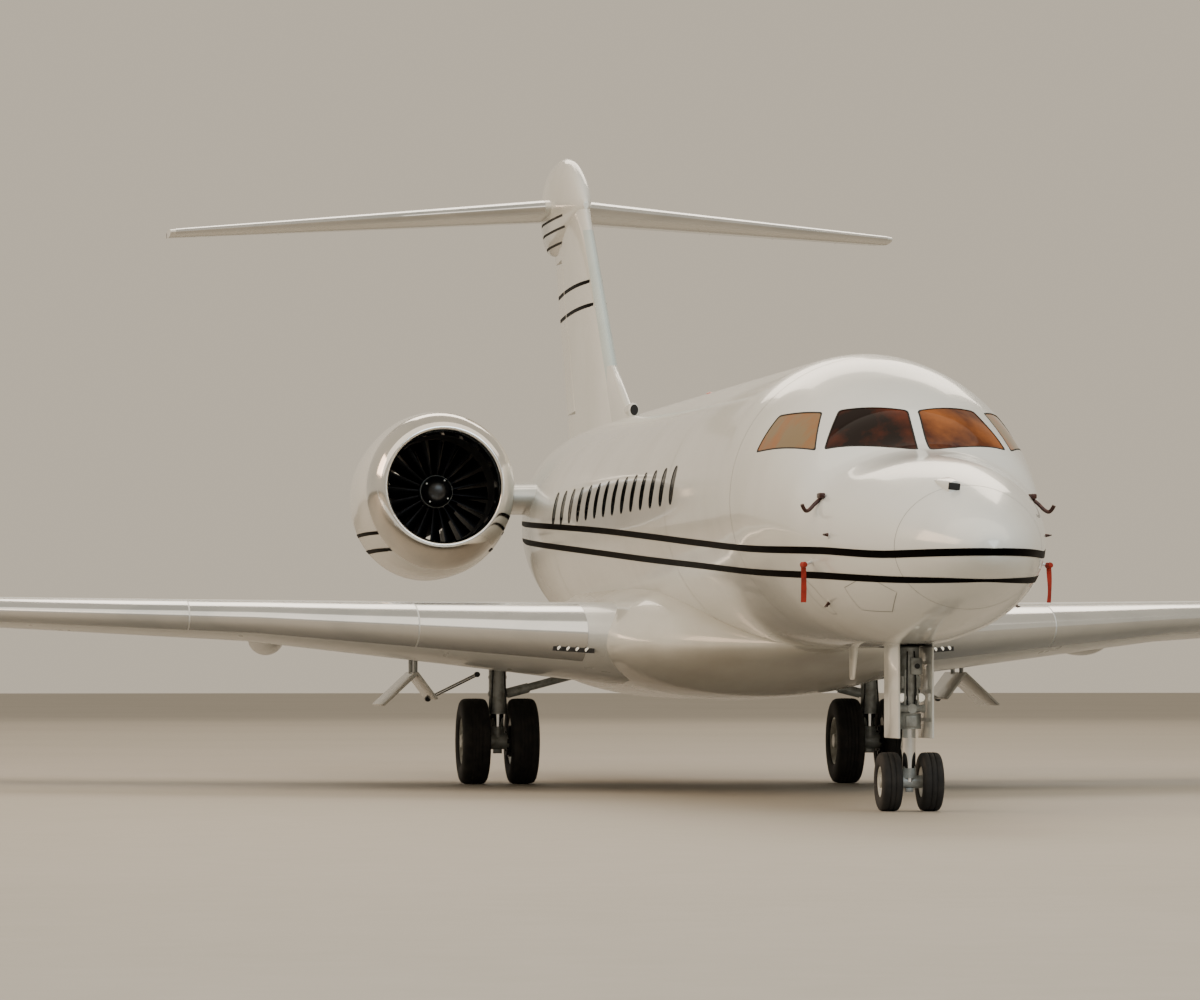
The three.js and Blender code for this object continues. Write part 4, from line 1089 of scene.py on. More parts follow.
# Wheels: place, radius, width, half distance between the pair, rim and axle radii
mainWheel = {"x": 2.056, "station": 16.404, "radius": 0.465, "width": 0.305, "half": 0.266, "rim": 0.25,
             "axle": 0.055, "grooves": 4, "holes": 9, "bolts": 16}
noseWheel = {"x": 0.0, "station": 3.63, "radius": 0.258, "width": 0.184, "half": 0.183, "rim": 0.13,
             "axle": 0.032, "grooves": 2, "holes": 6, "bolts": 10}
# the tread's grooves, with the bevel of their edges and the crown's fall at the tyre's side
groove = {"width": 0.009, "depth": 0.008, "bevel": 0.001, "fall": 0.004}
# half of a tyre's section: shares of its half width and of its wall's height
tyreFlank = [(0.72, 0.0), (0.86, 0.05), (0.965, 0.22), (1.0, 0.46), (0.985, 0.66), (0.93, 0.82),
             (0.84, 0.92), (0.72, 0.968), (0.6, 0.987)]
# what is set round each rim: its count, first turn, place, circle, half length, radius, sides and material
# the holes are black pins of painted shade
rimPins = [("holes", 0, 0.3, 0.7, 0.012, 0.085, 16, 2), ("bolts", 0.5, 0.29, 0.5, 0.014, 0.03, 6, 1)]


def treadProfile(wheel):
    radius, rim, w = wheel["radius"], wheel["rim"] + 0.001, wheel["width"] / 2
    half, bevel = groove["width"] / 2, groove["bevel"]
    profile = [(-w * across, rim + (radius - rim) * up) for across, up in tyreFlank]
    for i in range(wheel["grooves"]):
        at = (i - (wheel["grooves"] - 1) / 2) * w / wheel["grooves"]
        crown = radius - groove["fall"] * (at / w) ** 2
        cut = [(half + bevel, crown), (half, crown - bevel), (half, crown - groove["depth"])]
        profile += [(at - out, up) for out, up in cut] + [(at + out, up) for out, up in reversed(cut)]
    return profile + [(w * across, rim + (radius - rim) * up) for across, up in reversed(tyreFlank)]


def rimProfile(wheel):
    w, rim, axle = wheel["width"] / 2, wheel["rim"], wheel["axle"]
    outer = [(-0.72, -0.035), (-0.78, -0.02), (-0.8, 0.012), (-0.745, 0.014), (-0.7, -0.003), (0.7, -0.003),
             (0.745, 0.014), (0.8, 0.012), (0.8, -0.01), (0.66, -0.022), (0.34, -0.045), (0.26, -0.45 * rim)]
    inner = [(0.36, 0.034), (0.5, 0.026), (0.84, 0.022), (0.88, 0.018)]
    return [(-0.72 * w, 0.0), *((w * x, rim + up) for x, up in outer),
            *((w * x, axle + up) for x, up in inner), (0.88 * w, 0.0)]


def addWheelPair(name, wheel, x, body, tyres):
    centre = place(x, wheel["station"], wheel["radius"])
    rims = bmesh.new()
    pin(rims, centre, (wheel["half"], 0, 0), wheel["axle"], 32, 1)
    for label, out in sides.items():
        hub = centre + Vector((out * wheel["half"], 0, 0))
        bm = bmesh.new()
        turned(bm, treadProfile(wheel), hub, "X", 96, closed=True)
        addPiece(f"{name}_tread_{label}", bm, ["tyreRubber"], body=body, replaces=[f"{tyres}_tyre_{label}"],
                 slot="tyre", angle=50)
        turned(rims, rimProfile(wheel), hub, "X", 72, flip=out)
        for count, offset, along, circle, reach, radius, segments, material in rimPins:
            for a in turns(wheel[count], offset):
                across = wheel["rim"] * circle
                spot = hub + Vector((out * along * wheel["width"] / 2, cos(a) * across, sin(a) * across))
                pin(rims, spot, (reach, 0, 0), wheel["rim"] * radius, segments, material)
    addPiece(f"{name}_rims", rims, ["wheelEnamel", "darkSteel", "blackPaintAndShade"], body=body,
             replaces=[f"{tyres}_axle"], slot="wheel_metal")


# A pair of links with a pin at their knee, behind a leg
def addLinks(bm, x, station, upper, knee, lower, half, thick):
    ends = [place(x, station + aft, z) for aft, z in (upper, knee, lower)]
    for a, b in zip(ends, ends[1:]):
        middle, along = (a + b) / 2, b - a
        turn = (degrees(atan2(along.z, along.y)), 0, 0)
        for shift in (-half * 0.75, half * 0.75):
            block(bm, middle + Vector((shift, 0, 0)), (half * 0.35, along.length, thick), turn, 0.004)
        block(bm, middle, (half * 1.5, along.length * 0.3, thick * 0.5), turn)
    for end in ends:
        pin(bm, end, (half, 0, 0), thick * 0.55, 16, 1)


# Adds a dictionary's rods, its blocks as place, size and, where they differ, bevel and material, and its
# links. Points are outward of x, aft of the station and above the ground
def addParts(bm, x, station, side, parts):
    rods(bm, x, station, side, parts.get("rods", ()))
    for (out, aft, z), size, *more in parts.get("blocks", ()):
        block(bm, place(x + side * out, station + aft, z), size, (0, 0, 0), *more)
    if "links" in parts:
        addLinks(bm, x, station, *parts["links"])


# Main leg: enamelled cylinder with collars, chromed piston, boss, side brace and its near end, and links
mainLeg = {
    "rods": [
        ((0, 0, 1.47), (0, 0, 0.76), 0.095, 40), ((0, 0, 0.76), (0, 0, 0.79), 0.106, 40),
        ((0, 0, 0.955), (0, 0, 1.005), 0.104, 40), ((0, 0, 1.145), (0, 0, 1.175), 0.101, 40),
        ((0, 0, 0.77), (0, 0, 0.465), 0.068, 40, 1), ((-0.1525, 0, 0.465), (0.1525, 0, 0.465), 0.088, 40),
        ((0, 0, 0.505), (0, 0, 0.625), 0.082, 40, 0, 0.07), ((0, 0, 0.96), (-0.876, 0.06, 1.19), 0.042, 24),
        ((-0.1, 0, 0.985), (-0.34, 0.02, 1.045), 0.054, 24)],
    "blocks": [((0, 0.125, 0.93), (0.09, 0.13, 0.06), 0.006), ((0, 0, 0.355), (0.09, 0.09, 0.045), 0.004)],
    "links": ((0.165, 0.93), (0.24, 0.7), (0.06, 0.475), 0.055, 0.05),
}
# Brakes: a round plate and cylinders on each side of the leg, and hoses down to them
brake = {"plate": [((0.118, 0, 0.465), (0.15, 0, 0.465), 0.17, 48, 2)], "cylinders": 8, "at": 0.112,
         "circle": 0.13, "reach": 0.02, "radius": 0.024, "hoseRadius": 0.009,
         "hose": [(0.06, -0.1, 1.3), (0.07, -0.12, 1.0), (0.09, -0.13, 0.72), (0.1, -0.14, 0.55),
                  (0.115, -0.125, 0.485)]}


# Pipes that are mirrored about a leg
def addHoses(name, x, station, line, radius):
    lines = [[place(x + side * out, station + aft, z) for out, aft, z in line] for side in sides.values()]
    addPipe(name, lines, radius, "darkSteel")


def addMainLeg(label, side):
    x, s, level = side * mainWheel["x"], mainWheel["station"], mainWheel["radius"]
    bm = bmesh.new()
    addParts(bm, x, s, side, mainLeg)
    for out in sides.values():
        rods(bm, x, s, out, brake["plate"])
        for a in turns(brake["cylinders"]):
            spot = Vector((out * brake["at"], cos(a) * brake["circle"], sin(a) * brake["circle"]))
            pin(bm, place(x, s, level) + spot, (brake["reach"], 0, 0), brake["radius"], 16, 2)
    addPiece(f"main_leg_{label}", bm, ["gearEnamel", "chrome", "darkSteel"],
             replaces=[f"main_gear_leg_{label}"], slot="gear_metal")
    addHoses(f"brake_lines_{label}", x, s, brake["hose"], brake["hoseRadius"])


# Main gear door: its section from the outer to the inner edge as x and z, and its hinge rod and links
mainDoor = {
    "section": [(3.37, 0.86), (3.0, 1.205), (2.79, 0.925)], "from": 15.73, "length": 1.13,
    "thickness": 0.026, "bevel": 0.006,
    "rods": [((3.0, 0.001, 1.205), (3.0, 1.129, 1.205), 0.0128, 24),
             ((3.0, 0.25, 1.2), (3.0, 0.25, 1.5), 0.024, 20, 1),
             ((3.0, 0.72, 1.2), (3.0, 0.72, 1.5), 0.024, 20, 1)]}
# polished strut from the leg to the bay's edge, bright in the photograph
doorStrut = [((2.82, 0, 0.925), (2.28, 0, 1.19), 0.02),
             ((2.82, -0.04, 0.925), (2.82, 0.04, 0.925), 0.03, 20, 1),
             ((2.28, -0.04, 1.19), (2.28, 0.04, 1.19), 0.03, 20, 1)]


def addMainDoor(label, side):
    bm = bmesh.new()
    start, length, section = mainDoor["from"], mainDoor["length"], mainDoor["section"]
    for (x0, z0), (x1, z1) in zip(section, section[1:]):
        turn = (0, -degrees(atan2(z1 - z0, side * (x1 - x0))), 0)
        size = (hypot(x1 - x0, z1 - z0), length, mainDoor["thickness"])
        middle = place(side * (x0 + x1) / 2, start + length / 2, (z0 + z1) / 2)
        block(bm, middle, size, turn, mainDoor["bevel"])
    rods(bm, 0, start, side, mainDoor["rods"])
    addPiece(f"main_door_{label}", bm, ["bellyPaint", "gearEnamel"], replaces=[f"main_gear_door_{label}"],
             slot="white_paint")
    bm = bmesh.new()
    rods(bm, 0, 16.4, side, doorStrut)
    addPiece(f"door_strut_{label}", bm, ["chrome", "darkSteel"])


# Nose gear: fixed leg with collars, drag brace and lamp box, what it carries on each side, and the steered
# piston, collar and links
noseLeg = {
    "rods": [
        ((0, 0, 1.48), (0, 0, 0.862), 0.088, 40), ((0, 0, 1.28), (0, 0, 1.32), 0.098, 40),
        ((0, 0, 1.015), (0, 0, 1.065), 0.098, 40), ((0, 0, 0.865), (0, 0, 0.905), 0.098, 40),
        ((0, 0, 1.01), (0, 0.5, 1.49), 0.04, 24), ((0.05, -0.124, 1.27), (0.05, -0.13, 1.27), 0.024, 24, 1),
        ((0, -0.08, 0.9), (0, -0.155, 0.9), 0.042, 28)],
    "blocks": [((0.045, -0.1, 1.27), (0.1, 0.05, 0.15), 0.012)],
}
noseLegSide = {
    "rods": [((0.05, -0.02, 0.985), (0.088, -0.09, 0.992), 0.018, 16),
             ((0.012, -0.118, 0.9), (0.098, -0.112, 0.9), 0.03, 28),
             ((0.094, -0.112, 0.9), (0.118, -0.111, 0.9), 0.037, 28),
             ((0.06, -0.12, 0.93), (0.05, -0.1, 1.24), 0.009, 12)],
    "blocks": [((0.062, -0.075, 1.13), (0.05, 0.06, 0.11), 0.008)],
}
nosePiston = {
    "rods": [
        ((0, 0, 0.858), (0, 0, 0.72), 0.105, 44), ((0, 0, 0.75), (0, 0, 0.258), 0.058, 40, 1),
        ((-0.1126, 0, 0.258), (0.1126, 0, 0.258), 0.056, 40),
        ((0, 0, 0.288), (0, 0, 0.378), 0.066, 40, 0, 0.06)],
    "blocks": [((0, -0.1, 0.79), (0.1, 0.05, 0.1), 0.01), ((0, 0, 0.186), (0.064, 0.064, 0.032), 0.003)],
    "links": ((0.06, 0.73), (0.165, 0.56), (0.04, 0.4), 0.04, 0.034),
}
# a door with its three ribs, the bay's roof as a black sheet of painted shade, and the hoses down the leg
noseDoor = {"blocks": [((0.15, 0, 1.058), (0.018, 0.66, 0.836), 0.005),
                       *(((0.1395, 0, z), (0.004, 0.6, 0.03), 0, 1) for z in (0.8, 1.05, 1.3))]}
noseBay = {"blocks": [((0, 0.1, 1.436), (0.27, 1.3, 0.004))]}
noseHose = [(0.03, -0.09, 1.4), (0.04, -0.11, 1.2), (0.035, -0.1, 1.0), (0.03, -0.098, 0.9)]
# the lamps' shell and glass, as distance ahead and radius
taxiLamp = {"at": (0.086, -0.09, 0.995),
            "shell": [(-0.045, 0.0), (-0.045, 0.02), (-0.02, 0.04), (0.02, 0.044), (0.022, 0.04),
                      (0.018, 0.0)],
            "glass": [(0.0185, 0.0), (0.0185, 0.039), (0.024, 0.03), (0.027, 0.0)]}


def addNoseGear():
    s = noseWheel["station"]
    bm = bmesh.new()
    addParts(bm, 0, s, 1, noseLeg)
    for side in sides.values():
        addParts(bm, 0, s, side, noseLegSide)
    addPiece("nose_leg", bm, ["gearEnamel", "darkSteel"], replaces=["nose_gear_leg"], slot="gear_metal")
    bm = bmesh.new()
    addParts(bm, 0, s, 1, nosePiston)
    addPiece("nose_piston", bm, ["gearEnamel", "chrome"], body="nose_steering", replaces=["nose_steering"],
             slot="gear_metal")
    for label, side in sides.items():
        bm = bmesh.new()
        addParts(bm, 0, s, side, noseDoor)
        addPiece(f"nose_door_{label}", bm, ["whitePaint", "gearEnamel"],
                 replaces=[f"nose_gear_door_{label}"], slot="white_paint")
        bm = bmesh.new()
        out, aft, z = taxiLamp["at"]
        for material, part in enumerate(("shell", "glass")):
            turned(bm, taxiLamp[part], place(side * out, s + aft, z), "Y", 32, material, flip=-1)
        addPiece(f"taxi_lamp_{label}", bm, ["chrome", "lampGlass"])
    addHoses("steering_lines", 0, s, noseHose, 0.007)
    bm = bmesh.new()
    addParts(bm, 0, s, 1, noseBay)
    addPiece("nose_bay", bm, ["blackPaintAndShade"])


for label, side in sides.items():
    addMainLeg(label, side)
    addMainDoor(label, side)
    addWheelPair(f"main_{label}", mainWheel, side * mainWheel["x"], f"main_wheels_{label}", f"main_{label}")
addNoseGear()
addWheelPair("nose", noseWheel, 0, "nose_wheels", "nose")
print("gear made")


# Small pieces on the skin. A point of the fuselage nearest to a measured one, with its outward direction
def onSkin(x, station, z, lift=0.0):
    half, middle, height = girth(skinCurve, station, z)
    point, normal = laidAt(skinCurve, station, atan2((z - middle) / height, x / half))
    return point + normal * lift, normal


# Air data probes: masts that stand off the skin with a tube pointing forward, as foot, reach and length
probes = {"lower": ((0.81, 3.05, 1.82), 0.05, 0.09), "middle": ((0.94, 2.38, 2.39), 0.04, 0.07)}
# radii of the foot's plate, the mast's ends, the elbow, the tube's ends and its hole
probeRadii = {"plate": 0.032, "mast": (0.017, 0.009), "elbow": 0.0095, "tube": (0.0085, 0.006),
              "hole": 0.004}


def addProbe(name, side, at, reach, length):
    foot, normal = onSkin(side * at[0], *at[1:])
    elbow = foot + normal * reach
    tip = elbow + Vector((0, -length, 0))
    bm = bmesh.new()
    pin(bm, foot, normal * 0.004, probeRadii["plate"], 28, 1)
    for start, end, (wide, narrow) in ((foot, elbow, probeRadii["mast"]),
                                       (elbow + Vector((0, 0.012, 0)), tip, probeRadii["tube"])):
        tube(bm, start, end, wide, endRadius=narrow)
    ball(bm, elbow, [probeRadii["elbow"]] * 3, 16, 10)
    # the tube's open end as a black disc of painted shade
    pin(bm, tip, (0, -0.001, 0), probeRadii["hole"], 12, 2)
    addPiece(name, bm, ["probeMetal", "whitePaint", "blackPaintAndShade"])


# The upper probe: a hook that stands out, droops and turns up. Distances out, forward and up from its foot
hook = {"at": (0.92, 2.81, 2.73), "radius": 0.017,
        "line": [(-0.01, 0, 0), (0.05, 0.01, -0.04), (0.12, 0.03, -0.12), (0.165, 0.05, -0.13),
                 (0.19, 0.07, -0.07)]}


def addHook(label, side):
    foot, normal = onSkin(side * hook["at"][0], *hook["at"][1:])
    line = [foot + Vector((side * out, -ahead, up)) for out, ahead, up in hook["line"]]
    addPipe(f"hook_probe_{label}", [line], hook["radius"], "probeMetal")
    bm = bmesh.new()
    tube(bm, foot - normal * 0.004, foot + normal * 0.006, 0.036, 28)
    block(bm, foot + normal * 0.016, (0.05, 0.15, 0.045), bevel=0.01)
    addPiece(f"hook_foot_{label}", bm, ["probeMetal"])


# A fabric sleeve over a probe with a streamer that hangs from it. The sleeve's swells are share and radius
cover = {"at": (0.99, 2.9, 2.17), "reach": 0.09, "sleeve": 0.17, "width": 0.048, "length": 0.3, "back": 0.02,
         "swells": [(0.0, 0.018), (0.12, 0.023), (0.4, 0.021), (0.75, 0.023), (0.97, 0.02), (1.0, 0.012)],
         "hungAt": 0.45, "sag": 0.0235, "across": (0.9, 0.43), "rows": 22, "cloth": 0.0012}


def addCover(label, side):
    foot, normal = onSkin(side * cover["at"][0], *cover["at"][1:])
    elbow = foot + normal * cover["reach"]
    tip = elbow + Vector((0, -cover["sleeve"], 0))
    bm = bmesh.new()
    pin(bm, foot, normal * 0.004, 0.03, 28, 1)
    tube(bm, foot, elbow, 0.016, 20, 1, 0.01)
    addPiece(f"covered_probe_{label}", bm, ["probeMetal", "whitePaint"])
    bm = bmesh.new()
    rings = []
    for i, (share, radius) in enumerate(cover["swells"]):
        centre = elbow.lerp(tip, share) + Vector((0, cover["back"], 0))
        # every second ring is a little taller, as folds in the cloth
        rings.append([centre + Vector((radius * cos(a), 0, radius * sin(a) * (1.1 + 0.05 * (i % 2))))
                      for a in turns(20)])
    skinOver(bm, rings)
    sleeve = addPiece(f"probe_cover_{label}", bm, ["coverCloth"], angle=50)
    bm = bmesh.new()
    top = elbow.lerp(tip, cover["hungAt"]) + Vector((0, cover["back"], -cover["sag"]))
    across = Vector((side * cover["across"][0], cover["across"][1], 0)).normalized()
    facing = across.cross(Vector((0, 0, 1)))
    rows = []
    for share in spread(0, 1, cover["rows"]):
        down = cover["length"] * share
        # a light wave that grows downwards, and a curl of the edges
        sway = 0.006 * sin(down * 13) * share + 0.008 * sin(down * 9)
        curl = 0.01 * sin(down * 17 + 1)
        middle = top + facing * sway + Vector((0, 0, -down))
        rows.append([middle + (across * cover["width"] + facing * curl) * k for k in spread(-0.5, 0.5, 4)])
    skinOver(bm, rows, closed=False)
    bm.normal_update()
    bmesh.ops.solidify(bm, geom=list(bm.faces), thickness=cover["cloth"])
    streamer = addPiece(f"cover_streamer_{label}", bm, ["coverCloth"], angle=50)


# Outlines of panels as closed ribbons, as x outward, station and z
panels = {
    "nose_panel": [(0.81, 2.34, 1.94), (0.73, 1.68, 2.04), (0.54, 1.36, 1.89), (0.49, 1.84, 1.73),
                   (0.65, 2.4, 1.75)],
    "oval_panel": [(0.97, 3.36, 1.98), (0.93, 3.28, 2.06), (0.86, 3.16, 1.98), (0.78, 3.1, 1.82),
                   (0.74, 3.16, 1.71), (0.78, 3.28, 1.68), (0.88, 3.38, 1.76), (0.95, 3.42, 1.88)],
}


def addOutline(name, side, corners):
    ends = [Vector((side * x, station, z)) for x, station, z in corners]
    laid = [onSkin(*a.lerp(b, i / 8)) for a, b in zip(ends, ends[1:] + ends[:1]) for i in range(8)]
    addBand(name, laid + laid[:1], 0.006, "panelGap", lift=0.0012)


# Rings round the fuselage where its sections meet
def addJoint(station):
    ring = [laidAt(skinCurve, station, a) for a in spread(-pi / 2, 1.5 * pi, 120)]
    addBand(f"section_joint_{round(station * 1000)}", ring, 0.006, "panelGap", lift=0.0008)


# Ram air vent on the nose: a raised white fairing with its mouth as a black square of painted shade
noseVent = {"at": (-0.22, 1.02, 2.72), "start": 0.93, "length": 0.42, "half": 0.075, "swell": 0.03,
            "height": 0.085, "fall": 0.7, "square": 0.6, "sunk": 0.004}


def addNoseVent():
    x = onSkin(*noseVent["at"])[0].x
    rings = []
    for share in spread(0, 1, 10):
        width = noseVent["half"] + noseVent["swell"] * sin(pi * share)
        height = max(noseVent["sunk"], noseVent["height"] * (1 - share) ** noseVent["fall"])
        ring = []
        for a in spread(0, pi, 16):
            across = copysign(abs(cos(a)) ** noseVent["square"], cos(a))
            over, _ = onSkin(x + across * width, noseVent["start"] + noseVent["length"] * share, 3.0)
            ring.append(over + Vector((0, 0, height * sin(a) ** noseVent["square"] - noseVent["sunk"])))
        rings.append(ring)
    bm = bmesh.new()
    skinOver(bm, rings)
    mouth = (rings[0][0] + rings[0][-1]) / 2 + Vector((0, -0.001, 0.042))
    block(bm, mouth, (0.1, 0.006, 0.06), turn=(0, 6, 0), bevel=0.0025, material=1)
    addPiece("nose_vent", bm, ["whitePaint", "blackPaintAndShade"], angle=50)


# Blade aerial under the belly, swept back and narrower towards its tip
aerial = {"station": 6.06, "chord": 0.41, "height": 0.3, "sweep": 0.42, "taper": 0.45, "sunk": 0.012,
          "ratio": 0.09}


def addAerial():
    chord = aerial["chord"]
    root = eggPoint(skinCurve, aerial["station"] + chord / 2, -pi / 2)
    rings = []
    for share in (0.0, 0.25, 0.5, 0.75, 0.94, 1.0):
        # the last section closes the rounded tip
        shorter, thinner, later = (0.75, 0.6, 0.02) if share == 1 else (1, 1, 0)
        width = chord * (1 - aerial["taper"] * share) * shorter
        lead = aerial["station"] + chord * aerial["sweep"] * share + later
        z = root.z - (aerial["height"] * share - aerial["sunk"])
        faces = [[place(way * halfThickness(u, width, aerial["ratio"]) * thinner, lead + u * width, z)
                  for u in spread(0, 1, 9)] for way in (1, -1)]
        rings.append(faces[0] + faces[1][::-1])
    bm = bmesh.new()
    skinOver(bm, rings)
    addPiece("belly_aerial_front", bm, ["whitePaint"])


# Four lamps in each wing root, on a dark bed let into the leading edge
rootLamps = {"bed": (1.68, 2.06), "bedMiddle": 0.03, "bedSize": (0.062, 0.09), "first": 1.74, "pitch": 0.085,
             "count": 4, "aim": (0, -0.86, -0.5), "back": 0.05, "front": 0.012, "radius": 0.034,
             "glass": (0.0122, 0.0165), "glassRadii": (0.03, 0.022)}


def addRootLamps(label, side):
    rings, glass = bmesh.new(), bmesh.new()
    inner, outer = (sectionPoint(sectionAt(wing, x), 0.018, -1, side) for x in rootLamps["bed"])
    deep, tall = rootLamps["bedSize"]
    for point in bmesh.ops.create_cube(rings, size=1)["verts"]:
        end = inner if point.co.x < 0 else outer
        point.co = end + Vector((0, rootLamps["bedMiddle"] + deep * point.co.y, tall * point.co.z))
    aim = Vector(rootLamps["aim"]).normalized()
    back, front = aim * rootLamps["back"], aim * rootLamps["front"]
    near, far = (aim * reach for reach in rootLamps["glass"])
    wide, narrow = rootLamps["glassRadii"]
    for i in range(rootLamps["count"]):
        section = sectionAt(wing, rootLamps["first"] + rootLamps["pitch"] * i)
        point = sectionPoint(section, 0.021, -1, side)
        tube(rings, point - back, point + front, rootLamps["radius"], 28)
        tube(glass, point + near, point + far, wide, 28, endRadius=narrow)
    addPiece(f"root_lamp_rings_{label}", rings, ["darkSteel"])
    addPiece(f"root_lamps_{label}", glass, ["lampGlass"])


# Position lamps on the wings' tips: span, place behind the leading edge and size
tipLamp = {"span": 12.96, "shift": (0, 0.05, -0.004), "size": (0.035, 0.09, 0.03)}


def addTipLamp(label, side):
    bm = bmesh.new()
    nose = sectionPoint(sectionAt(wing, tipLamp["span"]), 0.0, 1, side)
    ball(bm, nose + Vector(tipLamp["shift"]), tipLamp["size"], 24, 16)
    addPiece(f"tip_lamp_{label}", bm, ["portLamp" if side > 0 else "starboardLamp"], angle=35)


# A beacon on the crown: its base and its glass
beacon = {"at": (0, 14.6, 4.125), "base": 0.075, "half": 0.012, "glass": (0.062, 0.062, 0.07)}


def addBeacon(name):
    bm = bmesh.new()
    point = place(*beacon["at"])
    pin(bm, point, (0, 0, beacon["half"]), beacon["base"], 36, 1)
    ball(bm, point, beacon["glass"], 28, 18)
    addPiece(name, bm, ["beaconGlass", "darkSteel"])


# Static wicks on trailing edges: surface rows, spans and whether they ride on a surface that moves
wicks = {
    "wing": (wing, (12.75, 12.9), False),
    "aileron": (wing, (10.4, 11.4, 12.3), True),
    "elevator": (stabiliser, (2.4, 3.3, 4.2), True),
}


def addWicks(label, side):
    for name, (rows, spans, moves) in wicks.items():
        bm = bmesh.new()
        for span in spans:
            foot = sectionPoint(sectionAt(rows, span), 0.985, 1, side)
            tube(bm, foot, foot + Vector((0, 0.13, -0.012)), 0.0028, 8, endRadius=0.0016)
        body = f"{name}_{label}" if moves else "airframe"
        addPiece(f"{name}_wicks_{label}", bm, ["blackPaintAndShade"], body=body)


# Dark stripes across the fin and rudder, as levels of one width
finStripes = {"upper": 5.95, "lower": 5.65}


def addFinStripes():
    for name, level in finStripes.items():
        section = sectionAt(fin, level)
        runs = {"fin": (0.055, section["rear"] - 0.002), "rudder": (section["hinge"] + 0.004, 0.99)}
        for label, face in sides.items():
            for part, (start, end) in runs.items():
                laid = [(sectionPoint(section, u, face, upright=True), Vector((face, 0, 0)))
                        for u in spread(start, end, 14)]
                addBand(f"{part}_stripe_{name}_{label}", laid, 0.045, "stripePaint", lift=0.0035,
                        body="rudder" if part == "rudder" else "airframe")


# The ram inlet at the fin's foot, taller than wide: its profile as distance behind the mouth and radius
ramInlet = {"at": (0, 20.16, 4.25), "taller": 1.35, "throat": 0.047, "depth": (0.023, 0.017),
            "profile": [(-0.02, 0.0), (-0.02, 0.048), (-0.005, 0.058), (0.05, 0.064), (0.5, 0.058),
                        (1.0, 0.0)]}


def addRamInlet():
    bm = bmesh.new()
    mouth = place(*ramInlet["at"])
    turned(bm, ramInlet["profile"], mouth, "Y", 36)
    ends = [mouth - Vector((0, depth, 0)) for depth in ramInlet["depth"]]
    # the throat is a black tube of painted shade
    tube(bm, *ends, ramInlet["throat"], 32, 1)
    for point in bm.verts:
        point.co.z = mouth.z + (point.co.z - mouth.z) * ramInlet["taller"]
    addPiece("ram_inlet", bm, ["whitePaint", "blackPaintAndShade"])


# Cooling slots along the tail bullet, at three levels, as black bands of painted shade
bulletSlots = {"levels": (6.9, 6.76, 6.6), "from": 25.2, "to": 27.3, "width": 0.03}


def addBulletSlots(label, side):
    for n, z in enumerate(bulletSlots["levels"]):
        laid = [laidAt(bulletCurve, s, levelAngle(bulletCurve, s, z, side, 0.99))
                for s in spread(bulletSlots["from"], bulletSlots["to"], 24)]
        addBand(f"bullet_slot_{n}_{label}", laid, bulletSlots["width"], "blackPaintAndShade")


# Airstairs on the door's inner side: treads with grip strips, the hinge's knuckle and web, and two rails
stairs = {"levels": [2.33, 2.6, 2.87, 3.14], "thickness": 0.036, "depth": 0.21, "margin": 0.09,
          "lining": -0.05, "grips": (-0.055, 0, 0.055), "railLevels": (2.2, 2.45, 2.75, 3.05, 3.3),
          "railIn": 0.24}
doorHinge = {"x": 1.07, "z": 1.956, "radius": 0.016, "margin": 0.12}


def skinHalfWidth(station, z, grow=0.0):
    half, middle, height = girth(skinCurve, station, z)
    rise = (z - middle) / (height + grow)
    return (half + grow) * sqrt(max(0.0, 1 - rise * rise))


def addAirstairs():
    first, last = door["from"] + stairs["margin"], door["to"] - stairs["margin"]
    centre, depth, thickness = (first + last) / 2, stairs["depth"], stairs["thickness"]
    bm = bmesh.new()
    for level in stairs["levels"]:
        outer = min(skinHalfWidth(5.55, z, stairs["lining"]) for z in (level, level + thickness))
        middle = place(outer - depth / 2, centre, level + thickness / 2)
        block(bm, middle, (depth, last - first, thickness), bevel=0.006)
        for shift in stairs["grips"]:
            block(bm, middle + Vector((shift, 0, thickness / 2 + 0.001)),
                  (0.018, last - first - 0.06, 0.003), material=1)
    x, z, margin = doorHinge["x"], doorHinge["z"], doorHinge["margin"]
    length = door["to"] - door["from"] - 2 * margin
    pin(bm, place(x, centre, z), (0, length / 2, 0), doorHinge["radius"], 24, 2)
    block(bm, place(x, centre, z + 0.025), (0.024, length - 0.02, 0.05), material=2)
    addPiece("airstairs", bm, ["veneer", "blackPaintAndShade", "chrome"], body="entry_door")
    rails = [[place(skinHalfWidth(5.6, level, stairs["lining"]) - stairs["railIn"], station, level)
              for level in stairs["railLevels"]] for station in (first + 0.02, last - 0.02)]
    addPipe("stair_rails", rails, 0.011, "chrome", "entry_door")


# Cabinet doors and drawers on the galley and the closet, as raised panels with handles
cabinets = {"runs": [(-1, 5.3, 7.06, 4), (1, 6.66, 7.96, 3)], "rows": [(2.16, 2.78), (2.8, 3.42)],
            "x": 0.428, "gap": 0.02, "thickness": 0.012, "handle": (0.01, 0.02, 0.09),
            "handleAt": (0.008, 0.34, 0.1)}


def addCabinetFronts():
    bm = bmesh.new()
    inward, along, down = cabinets["handleAt"]
    for side, start, end, count in cabinets["runs"]:
        x, pitch = side * cabinets["x"], (end - start) / count
        for middle in (start + pitch * (i + 0.5) for i in range(count)):
            for low, high in cabinets["rows"]:
                size = (cabinets["thickness"], pitch - cabinets["gap"], high - low)
                block(bm, place(x, middle, (low + high) / 2), size, bevel=0.004)
                block(bm, place(x - side * inward, middle + pitch * along, high - down), cabinets["handle"],
                      bevel=0.003, material=1)
    addPiece("cabinet_fronts", bm, ["veneer", "chrome"])


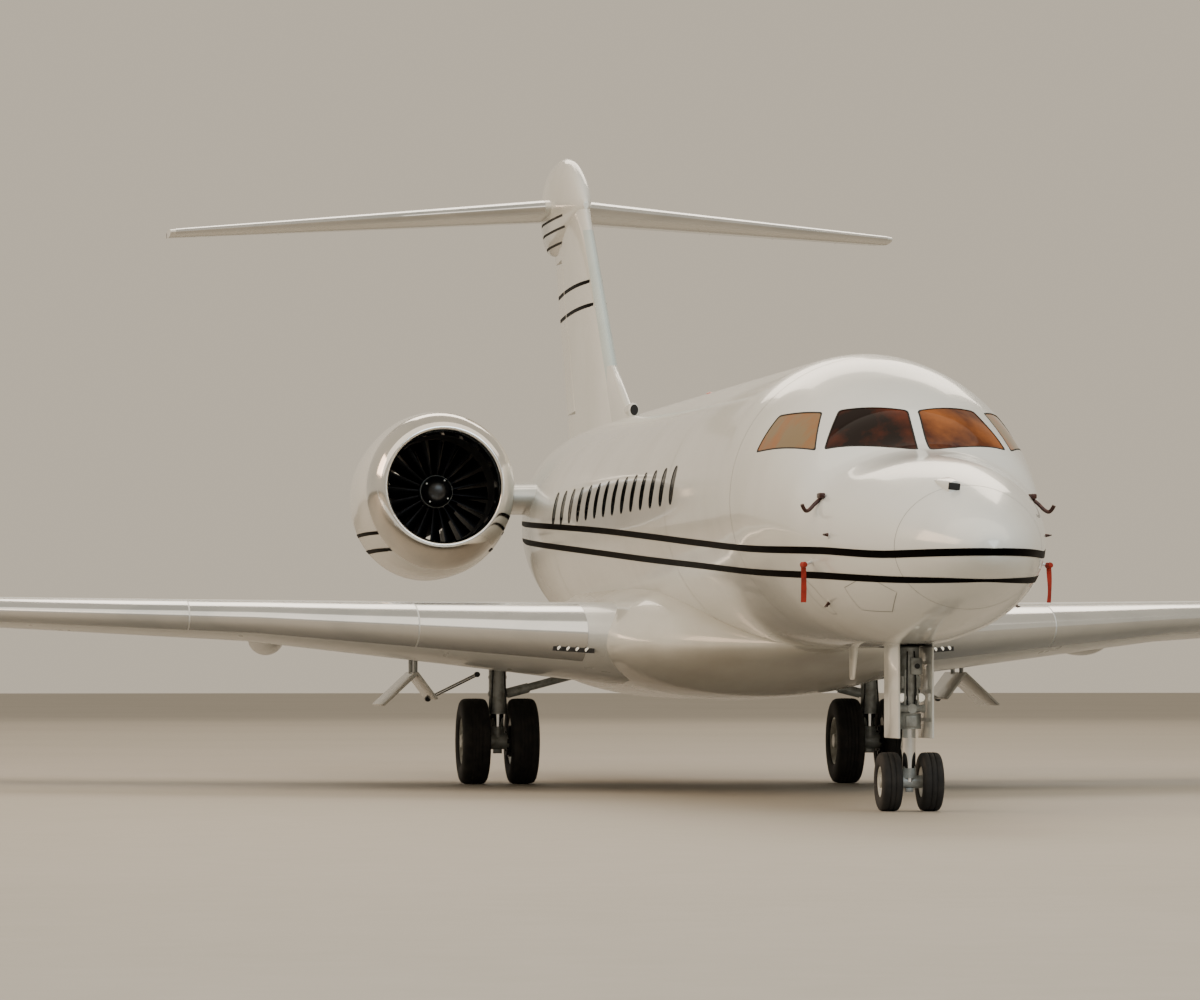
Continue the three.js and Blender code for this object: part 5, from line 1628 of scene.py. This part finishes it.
for label, side in sides.items():
    for name, row in probes.items():
        addProbe(f"{name}_probe_{label}", side, *row)
    addCover(label, side)
    for name, corners in panels.items():
        addOutline(f"{name}_{label}", side, corners)
    addHook(label, side)
    addRootLamps(label, side)
    addTipLamp(label, side)
    addWicks(label, side)
addAerial()
for station in (1.05, 5.2, 9.0, 17.2, 21.2):
    addJoint(station)
addNoseVent()
addBeacon("top_beacon")
addFinStripes()
addRamInlet()
for label, side in sides.items():
    addBulletSlots(label, side)
addAirstairs()
addCabinetFronts()
for name, finish in (("cabin_floor", "carpet"), ("galley", "cabinLiner"), ("forward_closet", "cabinLiner")):
    furnished = frame["nodes"][name].data.materials
    furnished.clear()
    furnished.append(finishes[finish])
print("small pieces placed")

# Stage: a pale floor, soft light
studio = {"floor": "a69f94", "world": "e6d9c4", "strength": 0.78}
# place, aimed at, size, watts and colour
lamps = {
    "overhead": ((-4, -16, 32), (0, -16, 2), (44, 130), 18500, "fff0dc"),
    "front": ((12, -64, 36), (0, -6, 2.5), (44, 26), 17000, "d6e9f5"),
    "sunsetSide": ((-54, 12, 26), (0, 2, 3), (40, 18), 12000, "ffd6b0"),
    "rear": ((12, 72, 40), (0, 8, 4), (44, 26), 12000, "fff0dc"),
}


def addStage():
    bm = bmesh.new()
    bmesh.ops.create_grid(bm, x_segments=1, y_segments=1, size=260)
    mesh = meshOf(bm)
    floor = bpy.data.objects.new("floor", mesh)
    bpy.context.scene.collection.objects.link(floor)
    mesh.materials.append(addFinish("floorPaint", studio["floor"], "9b9488", 0.5, 0.6, cloud=9, grain=0.4))
    world = bpy.data.worlds.new("studio")
    world.use_nodes = True
    bpy.context.scene.world = world
    shade = world.node_tree.nodes["Background"]
    shade.inputs["Color"].default_value = linear(studio["world"])
    shade.inputs["Strength"].default_value = studio["strength"]


def addLamp(name, spot, aim, size, power, colour):
    light = bpy.data.lights.new(name, "AREA")
    light.shape, light.size, light.size_y = "RECTANGLE", *size
    light.energy, light.color = power, linear(colour)[:3]
    lamp = bpy.data.objects.new(name, light)
    lamp.location = spot
    lamp.rotation_euler = (Vector(aim) - Vector(spot)).to_track_quat("-Z", "Y").to_euler()
    bpy.context.scene.collection.objects.link(lamp)


addStage()
for name, row in lamps.items():
    addLamp(name, *row)
